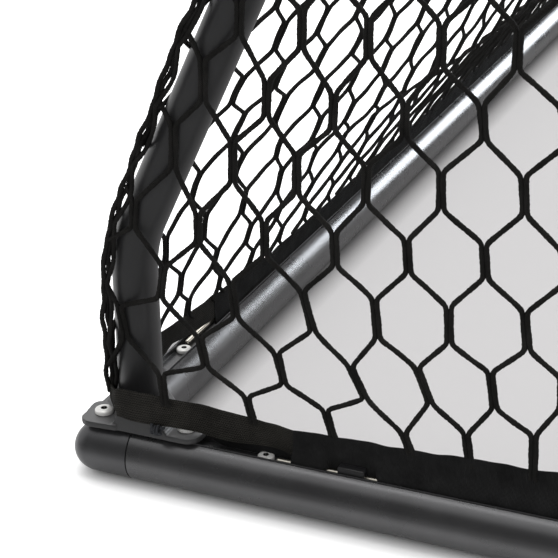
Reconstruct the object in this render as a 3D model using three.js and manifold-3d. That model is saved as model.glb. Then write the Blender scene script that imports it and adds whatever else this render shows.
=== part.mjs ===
// A free-standing street and ice hockey goal of slotted aluminium tube, with its net, in millimetres.
// +X points from the rear of the goal to its mouth, +Y runs across the mouth and +Z is up.
// The goal is symmetric about the plane y = 0: the left half, at -Y, is built and mirrored.
import * as THREE from "three";
import { mergeVertices } from "three/addons/utils/BufferGeometryUtils.js";
import Module from "manifold-3d";

const wasm = await Module();
wasm.setup();

// ---------------------------------------------------------------- driving dimensions
const MOUTH_WIDTH = 1830; // clear width between the front posts
const MOUTH_HEIGHT = 1220; // clear height under the crossbar
const BASE_DEPTH = 820; // rear base bar axis to front post axis
const FIT = 0.3; // clearance between neighbouring pieces

const BAR_DIAMETER = 51; // slotted round extrusion of the base, the posts and the crossbar
const BAR_WALL = 2.5;
const SLOT_WIDTH = 16; // net groove along the extrusion
const SLOT_DEPTH = 7;
const LIP_WIDTH = 2.5; // rebate beside the groove
const LIP_DEPTH = 1.5;
const BAR_FACETS = 20;

const ELBOW_REACH = 32.6; // from the crossing of two bar axes to the seam
const ELBOW_ROUNDING = 1.13; // corner radius in plan, in bar radii
const SPIGOT_REACH = 172; // from the crossing of two bar axes to the spigot's end
const SPIGOT_FIT = 0.9; // clearance round a spigot in its bar
const SPIGOT_FACETS = 12;
const BALL_FACETS = 12;

const TUBE_DIAMETER = 40; // bent rear uprights
const TUBE_WALL = 2.5;
const TUBE_INSET = 25; // upright axis from both bar axes
const TUBE_FACETS = 12; // a multiple of four, so that flats face straight out to every side
const ARC_STEPS = 3; // stretches along each bend
const LEAN_ANGLE = THREE.MathUtils.degToRad(25.3); // forward lean above the lower bend
const BEND_HEIGHT = 217; // where the axes of the foot and of the leaning stretch cross
const BEND_RADIUS = 125; // to the tube's axis
const TOP_BAR_DIAMETER = 32;
const TOP_BAR_WALL = 2;

const PLATE_THICKNESS = 6; // cast corner bracket
const PLATE_HALF_WIDTH = 17;
const PLATE_NARROW_SIDE = 12; // outer edge of the bracket's second leg
const PLATE_REACH = 98.6;
const PLATE_TIP_RADIUS = 13;
const LOBE_RADIUS = 19;
const SOCKET_HEIGHT = 20; // bracket's raised middle, above the bars
const SOCKET_RADIUS = 23.5;
const SOCKET_START = 20.5; // raised middle, from the bar crossing
const SOCKET_END = 66;
const SOCKET_BEVEL = 16.4; // x + y of the raised middle's slanted face
const SOCKET_NARROW_SIDE = 8.5; // outer side of the raised middle along the second leg

const BOLT_HEAD_DIAMETER = 16.8; // corner bracket bolts
const BOLT_HEAD_HEIGHT = 4.4;
const BOLT_DIAMETER = 8;
const BOLT_REACH = 27; // below the head
const BRACKET_BOLT_OFFSET = 82; // leg bolts, from the bar crossing
const SCREW_HEAD_DIAMETER = 15; // spigot screws in the groove
const SCREW_HEAD_HEIGHT = 3.4;
const SCREW_DIAMETER = 6;
const SCREW_REACH = 14;
const SCREW_OFFSET = 157.6; // spigot screws at the rear corners, from the bar crossing
const FOOT_SCREW_OFFSET = 84; // spigot screws at the front feet
const SOCKET_KEY = 0.36; // hexagon key radius, in head diameters
const KEY_DEPTH = 0.55; // hexagon key depth, in head heights
const SCREW_FACETS = 8;

const ROD_DIAMETER = 5; // steel net rods in the grooves
const ROD_SIDE = -3; // rod axis from the groove's middle
const ROD_START = 165.5; // rod ends at the rear corners, from the bar crossing
const ROD_FRONT_START = 105; // rod ends at the front corners
const CLIP_LENGTH = 24;
const CLIP_WALL = 1.3; // beside the rod
const CLIP_CROWN = 2.8; // over the rod
const CLIP_BEVEL = 1.3;
const SIDE_CLIP_OFFSET = 238.5; // rod clips, from the rear bar crossing
const REAR_CLIP_OFFSET = 601;
const POST_CLIP_HEIGHT = 620; // above the floor
const CROSSBAR_CLIP_OFFSET = 470; // from the top corner

const HEM_THICKNESS = 2; // webbing sewn round the net's lower edge
const HEM_WIDTH = 34;
const HEM_FOOT = 1; // hem's lower edge above the groove's floor
const HEM_LIFT = 5.5; // hem's lower edge above the bracket's lugs, clear of the bolt heads
const HEM_WRAP_HEIGHT = 27; // hem height where it wraps round the bracket
const HEM_FRONT_END = 100; // hem end from the front post's axis
const HEM_GAP = 2; // hem clear of a bracket's tip and of a groove screw's head
const HEM_STEP = 6; // run along the bar over which the hem moves from one level or line to the next
const HEM_CORNER = 3.5; // hem clear of the raised middle's slanted face

const NET_THICKNESS = 2.5;
const NET_CORD = 12; // coarse stand-in for the knotted mesh
const CELL_WIDTH = 185;
const CELL_SIDE = 76; // length of a cell's upright sides
const CELL_RISE = 62; // height of a cell's slanting sides
const NET_BORDER = 14;
const CUT_DEPTH = 80; // reach of the cutters through a panel, across its bends

const TIE_RADIUS = 5.2; // wound cord at the bracket's end
const TIE_CORD = 2.2;
const TIE_LENGTH = 10;

// ---------------------------------------------------------------- derived sizes
const BAR_RADIUS = BAR_DIAMETER / 2;
const WIDTH = MOUTH_WIDTH + BAR_DIAMETER; // between the side bar axes
const CROSSBAR_HEIGHT = MOUTH_HEIGHT + BAR_RADIUS; // crossbar axis
const TUBE_RADIUS = TUBE_DIAMETER / 2;
const TOP_HEIGHT = CROSSBAR_HEIGHT - TUBE_INSET; // axis of the upright's top stretch
const SLOT_FLOOR = BAR_RADIUS - SLOT_DEPTH; // groove floor from the bar axis
const FLOOR_UNDERSIDE = SLOT_FLOOR - BAR_WALL;
const HEAD_SEAT = BAR_RADIUS + PLATE_THICKNESS; // bolt heads' seat from the bar axis
const TUBE_FOOT = BAR_DIAMETER + PLATE_THICKNESS + FIT;
const TUBE_FRONT = BASE_DEPTH - HEAD_SEAT - FIT;
const ROD_HEIGHT = SLOT_FLOOR + FIT + ROD_DIAMETER / 2; // rod axis from the bar axis
const NET_INSET = TUBE_INSET - TUBE_RADIUS - FIT - NET_THICKNESS / 2; // net middle from the bar axes
const NET_OFFSET = TUBE_INSET - NET_INSET; // net middle outside the upright's axis
const HEM_BOTTOM = BAR_RADIUS + SLOT_FLOOR + HEM_FOOT;
const HEM_TOP = HEM_BOTTOM + HEM_WIDTH;
const NET_BOTTOM = HEM_TOP + FIT;
const WRAP_BOTTOM = BAR_DIAMETER + PLATE_THICKNESS + HEM_LIFT;
const WRAP_TOP = WRAP_BOTTOM + HEM_WRAP_HEIGHT;

// ---------------------------------------------------------------- materials
function painted(color, roughness) {
  return new THREE.MeshStandardMaterial({ color, roughness, metalness: 0.3 });
}
const barPaint = painted(0x47484b, 0.55);
const elbowPaint = painted(0x424347, 0.6);
const bracketPaint = painted(0x54585c, 0.5);
const tubePaint = painted(0x3a3b3d, 0.45);
const zinc = new THREE.MeshStandardMaterial({ color: 0xd9d4c8, roughness: 0.2, metalness: 1 });
const steel = new THREE.MeshStandardMaterial({ color: 0xb8b5ae, roughness: 0.3, metalness: 1 });
const plastic = new THREE.MeshStandardMaterial({ color: 0x1b1b1d, roughness: 0.5, metalness: 0 });
const webbing = new THREE.MeshStandardMaterial({ color: 0x1f1d1a, roughness: 0.9, metalness: 0 });
const cord = new THREE.MeshStandardMaterial({ color: 0x19191a, roughness: 0.85, metalness: 0 });

// ---------------------------------------------------------------- solids
function toSolid(geometry) {
  const bare = geometry.clone();
  bare.deleteAttribute("normal");
  bare.deleteAttribute("uv");
  const merged = mergeVertices(bare, 1e-4);
  const vertProperties = merged.attributes.position.array;
  const triVerts = Uint32Array.from(merged.index.array);
  return new wasm.Manifold(new wasm.Mesh({ numProp: 3, vertProperties, triVerts }));
}

function toGeometry(solid) {
  const mesh = solid.getMesh();
  const geometry = new THREE.BufferGeometry();
  geometry.setAttribute("position", new THREE.BufferAttribute(mesh.vertProperties, 3));
  geometry.setIndex(new THREE.BufferAttribute(mesh.triVerts, 1));
  geometry.computeVertexNormals();
  return geometry;
}

function join(geometries) {
  return geometries.map(toSolid).reduce((whole, next) => whole.add(next));
}

function cut(solid, geometries) {
  return geometries.map(toSolid).reduce((whole, tool) => whole.subtract(tool), solid);
}

function prism(shape, depth, curveSegments = 16) {
  return new THREE.ExtrudeGeometry(shape, { depth, bevelEnabled: false, curveSegments });
}

// Turns a shape drawn in XY and extruded along Z into one that runs along X, with its top to +Z.
function alongX(geometry) {
  const toX = new THREE.Matrix4().makeBasis(
    new THREE.Vector3(0, 1, 0),
    new THREE.Vector3(0, 0, 1),
    new THREE.Vector3(1, 0, 0),
  );
  return geometry.applyMatrix4(toX);
}

// A round pin along +Z from z = bottom to z = top.
function pin(diameter, bottom, top, x = 0, y = 0, facets = SCREW_FACETS) {
  const made = new THREE.CylinderGeometry(diameter / 2, diameter / 2, top - bottom, facets);
  return made.rotateX(Math.PI / 2).translate(x, y, (bottom + top) / 2);
}

function box(low, high) {
  const size = high.map((value, axis) => value - low[axis]);
  const made = new THREE.BoxGeometry(...size);
  return made.translate(...low.map((value, axis) => value + size[axis] / 2));
}

// ---------------------------------------------------------------- slotted bars and elbows
// Corners of a regular outline whose flats touch the circle, with a flat straight down.
function roundOutline(radius, facets) {
  const reach = radius / Math.cos(Math.PI / facets);
  const corners = [];
  for (let k = 0; k < facets; k++) {
    const angle = -Math.PI / 2 + ((2 * k + 1) * Math.PI) / facets;
    corners.push(new THREE.Vector2(reach * Math.cos(angle), reach * Math.sin(angle)));
  }
  return corners;
}

// The part of a round outline below a level, closed by a flat.
function flatToppedOutline(radius, level, facets) {
  const corners = roundOutline(radius, facets).filter((corner) => corner.y < level);
  const half = Math.sqrt(radius * radius - level * level);
  const flat = [new THREE.Vector2(half, level), new THREE.Vector2(-half, level)];
  return [...corners.filter(({ x }) => x > 0), ...flat, ...corners.filter(({ x }) => x < 0)];
}

function barProfile() {
  const slotHalf = SLOT_WIDTH / 2;
  const lipHalf = slotHalf + LIP_WIDTH;
  const lipLevel = Math.sqrt(BAR_RADIUS ** 2 - lipHalf ** 2);
  const rightSide = [
    [lipHalf, lipLevel],
    [lipHalf, lipLevel - LIP_DEPTH],
    [slotHalf, lipLevel - LIP_DEPTH],
    [slotHalf, SLOT_FLOOR],
  ];
  const leftSide = rightSide.map(([x, y]) => [-x, y]).reverse();
  const groove = [...rightSide, ...leftSide].map(([x, y]) => new THREE.Vector2(x, y));
  const isBesideGroove = ({ x, y }) => y < 0 || Math.abs(x) > lipHalf + FIT;
  const round = roundOutline(BAR_RADIUS, BAR_FACETS).filter(isBesideGroove);
  const right = round.filter(({ x }) => x > 0);
  const left = round.filter(({ x }) => x < 0);
  const profile = new THREE.Shape([...right, ...groove, ...left]);
  const hollow = flatToppedOutline(BAR_RADIUS - BAR_WALL, FLOOR_UNDERSIDE, BAR_FACETS);
  profile.holes.push(new THREE.Path(hollow));
  return profile;
}

// A slotted bar along +X with its groove up, and holes through the groove's floor.
function slottedBar(length, holes) {
  const tools = holes.map(({ at, diameter }) =>
    pin(diameter + 2 * FIT, FLOOR_UNDERSIDE - BAR_WALL, SLOT_FLOOR + BAR_WALL, at, 0),
  );
  return toGeometry(cut(toSolid(alongX(prism(barProfile(), length))), tools));
}

// One leg of an elbow along +X: the outside up to the seam and the spigot that fills the bar.
// The spigot's flat faces +Z turned about X by flatTurn.
function elbowLeg(flatTurn) {
  const collar = alongX(prism(new THREE.Shape(roundOutline(BAR_RADIUS, BAR_FACETS)), ELBOW_REACH));
  const inside = flatToppedOutline(BAR_RADIUS - BAR_WALL - SPIGOT_FIT, FLOOR_UNDERSIDE - FIT, SPIGOT_FACETS);
  const spigot = alongX(prism(new THREE.Shape(inside), SPIGOT_REACH)).rotateX(flatTurn);
  return [collar, spigot];
}

// The rounded outside corner: where both bars' cylinders meet, trimmed by a flattened ball.
function elbowCorner() {
  const outline = new THREE.Shape(roundOutline(BAR_RADIUS, BAR_FACETS));
  const first = alongX(prism(outline, BAR_DIAMETER)).translate(-BAR_RADIUS, 0, 0);
  const second = first.clone().rotateZ(Math.PI / 2);
  const ball = new THREE.SphereGeometry(1, BALL_FACETS, BALL_FACETS / 2);
  const reach = BAR_RADIUS * ELBOW_ROUNDING;
  ball.rotateX(Math.PI / 2).scale(reach, reach, BAR_RADIUS);
  return toSolid(first).intersect(toSolid(second)).intersect(toSolid(ball));
}

// An elbow with legs along +X and +Y. With slotsInside the bars' grooves face each other,
// otherwise both face +Z.
function elbow(slotsInside, holes) {
  const [firstTurn, secondTurn] = slotsInside ? [-Math.PI / 2, Math.PI / 2] : [0, 0];
  const second = elbowLeg(secondTurn).map((leg) => leg.rotateZ(Math.PI / 2));
  const body = join([...elbowLeg(firstTurn), ...second]).add(elbowCorner());
  const tools = [];
  for (const { at, diameter, onlyAcross } of holes) {
    const drill = pin(diameter + 2 * FIT, -BAR_RADIUS / 2, BAR_DIAMETER, at, 0);
    if (onlyAcross) {
      tools.push(drill);
    } else {
      tools.push(drill.clone().rotateX(firstTurn));
      tools.push(drill.rotateX(secondTurn).rotateZ(Math.PI / 2));
    }
  }
  return toGeometry(cut(body, tools));
}

// ---------------------------------------------------------------- bent tubes
// Corners of the upright's path in (x, z), moved outside its axis by an offset.
function uprightCorners(offset) {
  const lean = Math.tan(LEAN_ANGLE);
  const foot = TUBE_INSET - offset;
  const bend = BEND_HEIGHT + offset * Math.tan(LEAN_ANGLE / 2);
  const top = TOP_HEIGHT + offset;
  const shoulder = foot + (top - bend) * lean;
  return [
    new THREE.Vector2(foot, 0),
    new THREE.Vector2(foot, bend),
    new THREE.Vector2(shoulder, top),
    new THREE.Vector2(BASE_DEPTH, top),
  ];
}

// Stations along the path with its corners rounded: a point and a direction each.
function uprightStations(offset, start, end) {
  const corners = uprightCorners(offset);
  const radius = BEND_RADIUS + offset;
  const stations = [];
  const directions = [];
  for (let k = 0; k < corners.length - 1; k++) {
    directions.push(corners[k + 1].clone().sub(corners[k]).normalize());
  }
  stations.push({ point: new THREE.Vector2(corners[0].x, start), direction: directions[0] });
  for (let k = 1; k < corners.length - 1; k++) {
    const turn = directions[k - 1].angleTo(directions[k]);
    const cutBack = radius * Math.tan(turn / 2);
    const begin = corners[k].clone().addScaledVector(directions[k - 1], -cutBack);
    const inward = new THREE.Vector2(directions[k - 1].y, -directions[k - 1].x);
    const centre = begin.clone().addScaledVector(inward, radius);
    for (let step = 0; step <= ARC_STEPS; step++) {
      const angle = (-turn * step) / ARC_STEPS;
      const point = begin.clone().rotateAround(centre, angle);
      const direction = directions[k - 1].clone().rotateAround(new THREE.Vector2(), angle);
      stations.push({ point, direction });
    }
  }
  const last = corners[corners.length - 1];
  stations.push({ point: new THREE.Vector2(end, last.y), direction: directions[directions.length - 1] });
  return stations;
}

// A curve in the XZ plane that visits one station after another.
class StationCurve extends THREE.Curve {
  constructor(stations, y) {
    super();
    this.stations = stations;
    this.y = y;
  }
  stationAt(u) {
    return this.stations[Math.round(u * (this.stations.length - 1))];
  }
  getPointAt(u, target = new THREE.Vector3()) {
    const { point } = this.stationAt(u);
    return target.set(point.x, this.y, point.y);
  }
  getTangentAt(u, target = new THREE.Vector3()) {
    const { direction } = this.stationAt(u);
    return target.set(direction.x, 0, direction.y);
  }
}

function tubeProfile(diameter, wall, facets) {
  const profile = new THREE.Shape(roundOutline(diameter / 2, facets));
  profile.holes.push(new THREE.Path(roundOutline(diameter / 2 - wall, facets)));
  return profile;
}

function rearUpright() {
  const stations = uprightStations(0, TUBE_FOOT, TUBE_FRONT);
  const extrudePath = new StationCurve(stations, TUBE_INSET);
  const profile = tubeProfile(TUBE_DIAMETER, TUBE_WALL, TUBE_FACETS);
  return new THREE.ExtrudeGeometry(profile, { extrudePath, steps: stations.length - 1 });
}

// The straight bar between the uprights, at the middle of their upper bend.
function topBarPlace() {
  const [, , shoulder] = uprightCorners(0);
  const turn = Math.PI / 2 - LEAN_ANGLE;
  const pullIn = BEND_RADIUS * (1 / Math.cos(turn / 2) - 1);
  const toCentre = new THREE.Vector2(0, -1).rotateAround(new THREE.Vector2(), turn / 2);
  return shoulder.clone().addScaledVector(toCentre, pullIn);
}

function rearTopBar() {
  const clear = TUBE_INSET + TUBE_RADIUS + FIT;
  const made = alongX(prism(tubeProfile(TOP_BAR_DIAMETER, TOP_BAR_WALL, TUBE_FACETS), WIDTH - 2 * clear));
  return made.rotateZ(Math.PI / 2).translate(0, clear, 0);
}

// ---------------------------------------------------------------- corner brackets
function roundedLeg(low, high, reach) {
  const leg = new THREE.Shape();
  const r = PLATE_TIP_RADIUS;
  leg.moveTo(0, low);
  leg.lineTo(reach - r, low);
  leg.absarc(reach - r, low + r, r, -Math.PI / 2, 0, false);
  leg.absarc(reach - r, high - r, r, 0, Math.PI / 2, false);
  leg.lineTo(0, high);
  return leg;
}

// Swaps X and Y of a shape's points, so that a leg drawn along +X runs along +Y.
function swapped(shape) {
  const points = shape.getPoints(3).map(({ x, y }) => new THREE.Vector2(y, x));
  return new THREE.Shape(points.reverse());
}

function disc(radius, x, y) {
  return new THREE.Shape().absarc(x, y, radius, 0, 2 * Math.PI, false);
}

// The cast bracket on two grooves, with legs along +X and +Y, in the frame of the bar crossing.
function cornerBracket() {
  const low = BAR_RADIUS;
  const h = PLATE_HALF_WIDTH;
  const firstLeg = roundedLeg(-h, h, PLATE_REACH);
  const secondLeg = swapped(roundedLeg(-PLATE_NARROW_SIDE, h, PLATE_REACH));
  const lobe = disc(LOBE_RADIUS, 0, 0);
  const boss = disc(SOCKET_RADIUS, TUBE_INSET, TUBE_INSET);
  const plates = [firstLeg, secondLeg, lobe, boss];
  const plate = join(plates.map((shape) => prism(shape, PLATE_THICKNESS, 4).translate(0, 0, low)));
  const raised = new THREE.Shape([
    new THREE.Vector2(SOCKET_START, -h),
    new THREE.Vector2(SOCKET_END, -h),
    new THREE.Vector2(SOCKET_END, h),
    new THREE.Vector2(h, SOCKET_END),
    new THREE.Vector2(-SOCKET_NARROW_SIDE, SOCKET_END),
    new THREE.Vector2(-SOCKET_NARROW_SIDE, SOCKET_BEVEL + SOCKET_NARROW_SIDE),
    new THREE.Vector2(SOCKET_START, SOCKET_BEVEL - SOCKET_START),
  ]);
  const middle = join([raised, boss].map((shape) => prism(shape, SOCKET_HEIGHT, 8).translate(0, 0, low)));
  const bore = TUBE_DIAMETER / Math.cos(Math.PI / TUBE_FACETS) + 3 * FIT;
  const tools = [pin(bore, HEAD_SEAT, 3 * BAR_RADIUS, TUBE_INSET, TUBE_INSET, BAR_FACETS)];
  for (const [x, y] of boltPlaces()) {
    tools.push(pin(BOLT_DIAMETER + 2 * FIT, 0, 3 * BAR_RADIUS, x, y));
  }
  return toGeometry(cut(plate.add(middle), tools));
}

function boltPlaces() {
  return [
    [0, 0],
    [BRACKET_BOLT_OFFSET, 0],
    [0, BRACKET_BOLT_OFFSET],
  ];
}

// A button-head screw along Z with a hexagon key, its seat at the given level.
function screw(head, headHeight, shank, reach, seat, x, y) {
  const half = head / 2;
  const profile = [
    [0, 0],
    [half, 0],
    [half, headHeight / 2],
    [half * 0.7, headHeight],
    [0, headHeight],
  ].map(([r, z]) => new THREE.Vector2(r, z));
  const dome = new THREE.LatheGeometry(profile, SCREW_FACETS).rotateX(Math.PI / 2);
  const rod = pin(shank, -reach, headHeight * 0.2);
  const key = pin(head * SOCKET_KEY, headHeight * (1 - KEY_DEPTH), headHeight * 2, 0, 0, 6);
  const made = toGeometry(cut(join([dome, rod]), [key]));
  return made.translate(x, y, seat);
}

function bracketBolt(x, y) {
  const seat = HEAD_SEAT + FIT;
  return screw(BOLT_HEAD_DIAMETER, BOLT_HEAD_HEIGHT, BOLT_DIAMETER, BOLT_REACH, seat, x, y);
}

function slotScrew(offset) {
  const seat = SLOT_FLOOR + FIT;
  return screw(SCREW_HEAD_DIAMETER, SCREW_HEAD_HEIGHT, SCREW_DIAMETER, SCREW_REACH, seat, offset, 0);
}

// ---------------------------------------------------------------- net rods and clips
function netRod(start, end) {
  const rod = alongX(prism(disc(ROD_DIAMETER / 2, 0, 0), end - start, 5));
  return rod.translate(start, ROD_SIDE, ROD_HEIGHT);
}

// A saddle over the rod: two feet that stand in the groove, and a flat crown with bevelled edges.
function rodClip() {
  const inner = ROD_DIAMETER / 2 + FIT;
  const outer = inner + CLIP_WALL;
  const crown = inner + CLIP_CROWN;
  const foot = FIT + SLOT_FLOOR - ROD_HEIGHT;
  const profile = new THREE.Shape();
  profile.moveTo(outer, foot);
  profile.lineTo(outer, crown - CLIP_BEVEL);
  profile.lineTo(outer - CLIP_BEVEL, crown);
  profile.lineTo(CLIP_BEVEL - outer, crown);
  profile.lineTo(-outer, crown - CLIP_BEVEL);
  profile.lineTo(-outer, foot);
  profile.lineTo(-inner, foot);
  profile.absarc(0, 0, inner, Math.PI, 0, true);
  profile.lineTo(inner, foot);
  const clip = alongX(prism(profile, CLIP_LENGTH, 4));
  return clip.translate(-CLIP_LENGTH / 2, ROD_SIDE, ROD_HEIGHT);
}

// ---------------------------------------------------------------- hem, tie and net
// Half of the hem's route in plan, from the front of the left side bar to the middle of the rear bar.
// Each station holds x, y and the heights of the hem's lower and upper edge.
function hemStations() {
  const besideSocket = PLATE_HALF_WIDTH + FIT + HEM_THICKNESS / 2;
  const behindSocket = SOCKET_NARROW_SIDE + FIT + HEM_THICKNESS / 2;
  const pastTip = PLATE_REACH + HEM_GAP;
  const pastScrew = SCREW_OFFSET + SCREW_HEAD_DIAMETER / 2 + HEM_GAP;
  const slotEdges = [HEM_BOTTOM, HEM_TOP];
  const lipEdges = [BAR_DIAMETER, HEM_TOP];
  const tipEdges = [WRAP_BOTTOM, HEM_TOP];
  const wrapEdges = [WRAP_BOTTOM, WRAP_TOP];
  return [
    [BASE_DEPTH - HEM_FRONT_END, NET_INSET, ...slotEdges],
    [pastScrew + HEM_STEP, NET_INSET, ...slotEdges],
    [pastScrew, NET_INSET, ...lipEdges],
    [pastTip, NET_INSET, ...tipEdges],
    [pastTip - HEM_STEP, -HEM_THICKNESS, ...tipEdges],
    [SOCKET_END, -besideSocket, ...wrapEdges],
    [SOCKET_START - HEM_THICKNESS / 2, -besideSocket, ...wrapEdges],
    [SOCKET_START - HEM_CORNER, SOCKET_BEVEL - SOCKET_START - HEM_CORNER, ...wrapEdges],
    [-behindSocket, SOCKET_BEVEL + behindSocket - HEM_CORNER, ...wrapEdges],
    [-behindSocket, SOCKET_END, ...wrapEdges],
    [-HEM_THICKNESS, pastTip - HEM_STEP, ...tipEdges],
    [NET_INSET, pastTip, ...tipEdges],
    [NET_INSET, pastScrew, ...lipEdges],
    [NET_INSET, pastScrew + HEM_STEP, ...slotEdges],
  ];
}

function baseHem() {
  const half = hemStations();
  const mirrored = half.map(([x, y, low, high]) => [x, WIDTH - y, low, high]).reverse();
  return ribbon([...half, ...mirrored], HEM_THICKNESS);
}

// A band of the given thickness that stands on edge along a route, mitred at its turns.
function ribbon(stations, thickness) {
  const positions = [];
  const plan = stations.map(([x, y]) => new THREE.Vector2(x, y));
  const quads = [];
  stations.forEach(([x, y, low, high], k) => {
    const before = plan[Math.max(k - 1, 0)];
    const after = plan[Math.min(k + 1, plan.length - 1)];
    const arrive = plan[k].clone().sub(before).normalize();
    const leave = after.clone().sub(plan[k]).normalize();
    const along = arrive.clone().add(leave).normalize();
    const mitre = 1 / Math.max(Math.abs(along.dot(k > 0 ? arrive : leave)), 0.5);
    const side = new THREE.Vector2(-along.y, along.x).multiplyScalar((thickness / 2) * mitre);
    positions.push(x - side.x, y - side.y, low, x + side.x, y + side.y, low);
    positions.push(x + side.x, y + side.y, high, x - side.x, y - side.y, high);
  });
  const last = 4 * (stations.length - 1);
  quads.push([0, 3, 2, 1], [last, last + 1, last + 2, last + 3]);
  for (let a = 0; a < last; a += 4) {
    for (let side = 0; side < 4; side++) {
      const next = (side + 1) % 4;
      quads.push([a + side, a + next, a + next + 4, a + side + 4]);
    }
  }
  const geometry = new THREE.BufferGeometry();
  geometry.setAttribute("position", new THREE.Float32BufferAttribute(positions, 3));
  geometry.setIndex(quads.flatMap(([a, b, c, d]) => [a, b, c, a, c, d]));
  return toGeometry(toSolid(geometry));
}

// The wound cord that ties the hem to the bracket, beside the raised middle's end.
function cornerTie() {
  const [low, high] = [TIE_RADIUS - TIE_CORD, TIE_RADIUS];
  const profile = [
    [low, 0],
    [high, 0],
    [high, TIE_LENGTH],
    [low, TIE_LENGTH],
    [low, 0],
  ].map(([r, z]) => new THREE.Vector2(r, z));
  const ring = new THREE.LatheGeometry(profile, 14).rotateZ(-Math.PI / 2);
  const y = -PLATE_HALF_WIDTH - HEM_THICKNESS - 2 * FIT - TIE_RADIUS;
  return ring.translate(SOCKET_END - TIE_LENGTH, y, WRAP_BOTTOM + FIT);
}

// One mesh cell, grown or shrunk so that the cord between neighbours has its width.
function cellShape(x, y) {
  const half = (CELL_WIDTH - NET_CORD) / 2;
  const side = CELL_SIDE / 2 - NET_CORD / 6;
  const peak = CELL_SIDE / 2 + CELL_RISE - NET_CORD * 0.6;
  const corners = [
    [0, -peak],
    [half, -side],
    [half, side],
    [0, peak],
    [-half, side],
    [-half, -side],
  ];
  return new THREE.Shape(corners.map(([u, v]) => new THREE.Vector2(x + u, y + v)));
}

// Cells over a width and a height, drawn from the middle of the width.
function cellsOver(width, height) {
  const rowStep = CELL_SIDE + CELL_RISE;
  const cells = [];
  for (let row = 0; row * rowStep < height + rowStep; row++) {
    const shift = (row % 2) * (CELL_WIDTH / 2);
    const reach = Math.ceil(width / 2 / CELL_WIDTH) + 1;
    for (let column = -reach; column <= reach; column++) {
      cells.push(cellShape(width / 2 + column * CELL_WIDTH + shift, row * rowStep));
    }
  }
  return cells;
}

// Cutters for the openings inside an outline, as one solid that reaches both ways from z = 0.
function cutters(outline, width, height) {
  const column = (shape) => toSolid(prism(shape, CUT_DEPTH).translate(0, 0, -CUT_DEPTH / 2));
  const window = column(outline);
  const cells = cellsOver(width, height).map(column);
  const all = cells.reduce((whole, next) => whole.add(next));
  return all.intersect(window);
}

// A closed outline drawn inwards by a border, corner by corner.
function inset(corners, border) {
  return corners.map((corner, k) => {
    const before = corners[(k + corners.length - 1) % corners.length];
    const after = corners[(k + 1) % corners.length];
    const arrive = corner.clone().sub(before).normalize();
    const leave = after.clone().sub(corner).normalize();
    const inwards = new THREE.Vector2(-arrive.y - leave.y, arrive.x + leave.x);
    return corner.clone().addScaledVector(inwards, border / (1 + arrive.dot(leave)));
  });
}

// Outline of a net panel's profile in (x, z), as thick as the net, along stations.
function netBand(stations) {
  const half = NET_THICKNESS / 2;
  const outer = [];
  const inner = [];
  for (const { point, direction } of stations) {
    const side = new THREE.Vector2(-direction.y, direction.x).multiplyScalar(half);
    outer.push(point.clone().add(side));
    inner.push(point.clone().sub(side));
  }
  return new THREE.Shape([...inner, ...outer.reverse()]);
}

// Places a panel drawn in XY on the back or the top, from a start in (x, z) along a direction.
function panelPlace(start, direction) {
  const across = new THREE.Vector3(0, 1, 0);
  const up = new THREE.Vector3(direction.x, 0, direction.y);
  const out = across.clone().cross(up);
  const place = new THREE.Matrix4().makeBasis(across, up, out);
  return place.setPosition(start.x, 0, start.y);
}

function turnedBand(stations, low, high) {
  const band = prism(netBand(stations), high - low);
  return toSolid(band.rotateX(Math.PI / 2).translate(0, high, 0));
}

// Cutters through a panel between two points of its path, across it from low to high.
function bandCutters(from, to, low, high) {
  const direction = to.clone().sub(from).normalize();
  const length = from.distanceTo(to);
  const corners = [
    new THREE.Vector2(low, 0),
    new THREE.Vector2(high, 0),
    new THREE.Vector2(high, length),
    new THREE.Vector2(low, length),
  ];
  const made = toGeometry(cutters(new THREE.Shape(inset(corners, NET_BORDER)), low + high, length));
  return toSolid(made.applyMatrix4(panelPlace(from, direction)));
}

// Room for the hem where it cuts across a rear corner, and for the screw at a post's foot.
function lowerRoom() {
  const hem = box([-TUBE_INSET, -TUBE_INSET, 0], [TUBE_INSET, TUBE_INSET, WRAP_TOP + FIT]);
  const screwTop = BAR_RADIUS + FOOT_SCREW_OFFSET + SCREW_HEAD_DIAMETER;
  const screw = box([BASE_DEPTH - BAR_RADIUS, -TUBE_INSET, 0], [BASE_DEPTH, TUBE_INSET, screwTop]);
  return [hem, screw];
}

// Room for the bracket at the top corners of the mouth.
function bracketRoom() {
  const back = BASE_DEPTH - BAR_RADIUS - SOCKET_HEIGHT - 2 * FIT;
  const reach = PLATE_REACH + 2 * FIT;
  const low = [back, -BAR_DIAMETER, CROSSBAR_HEIGHT - reach];
  const near = box(low, [BASE_DEPTH, reach, CROSSBAR_HEIGHT + BAR_DIAMETER]);
  const far = box([back, WIDTH - reach, low[2]], [BASE_DEPTH, WIDTH + BAR_DIAMETER, low[2] + 2 * reach]);
  return [near, far];
}

function backNet() {
  const stations = uprightStations(NET_OFFSET, NET_BOTTOM, BASE_DEPTH);
  const upToTop = stations.slice(0, -1);
  const low = NET_INSET - NET_THICKNESS / 2;
  const high = WIDTH - low;
  let net = turnedBand(upToTop, low, high);
  const breaks = [0, ARC_STEPS + 1, ARC_STEPS + 2, upToTop.length - 1];
  for (let k = 0; k < breaks.length - 1; k++) {
    const [from, to] = [upToTop[breaks[k]].point, upToTop[breaks[k + 1]].point];
    net = net.subtract(bandCutters(from, to, low, high));
  }
  const [near] = lowerRoom();
  const far = near.clone().translate(0, WIDTH, 0);
  return toGeometry(cut(net, [near, far]));
}

function netFront() {
  return BASE_DEPTH - SLOT_FLOOR - HEM_FOOT;
}

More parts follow.
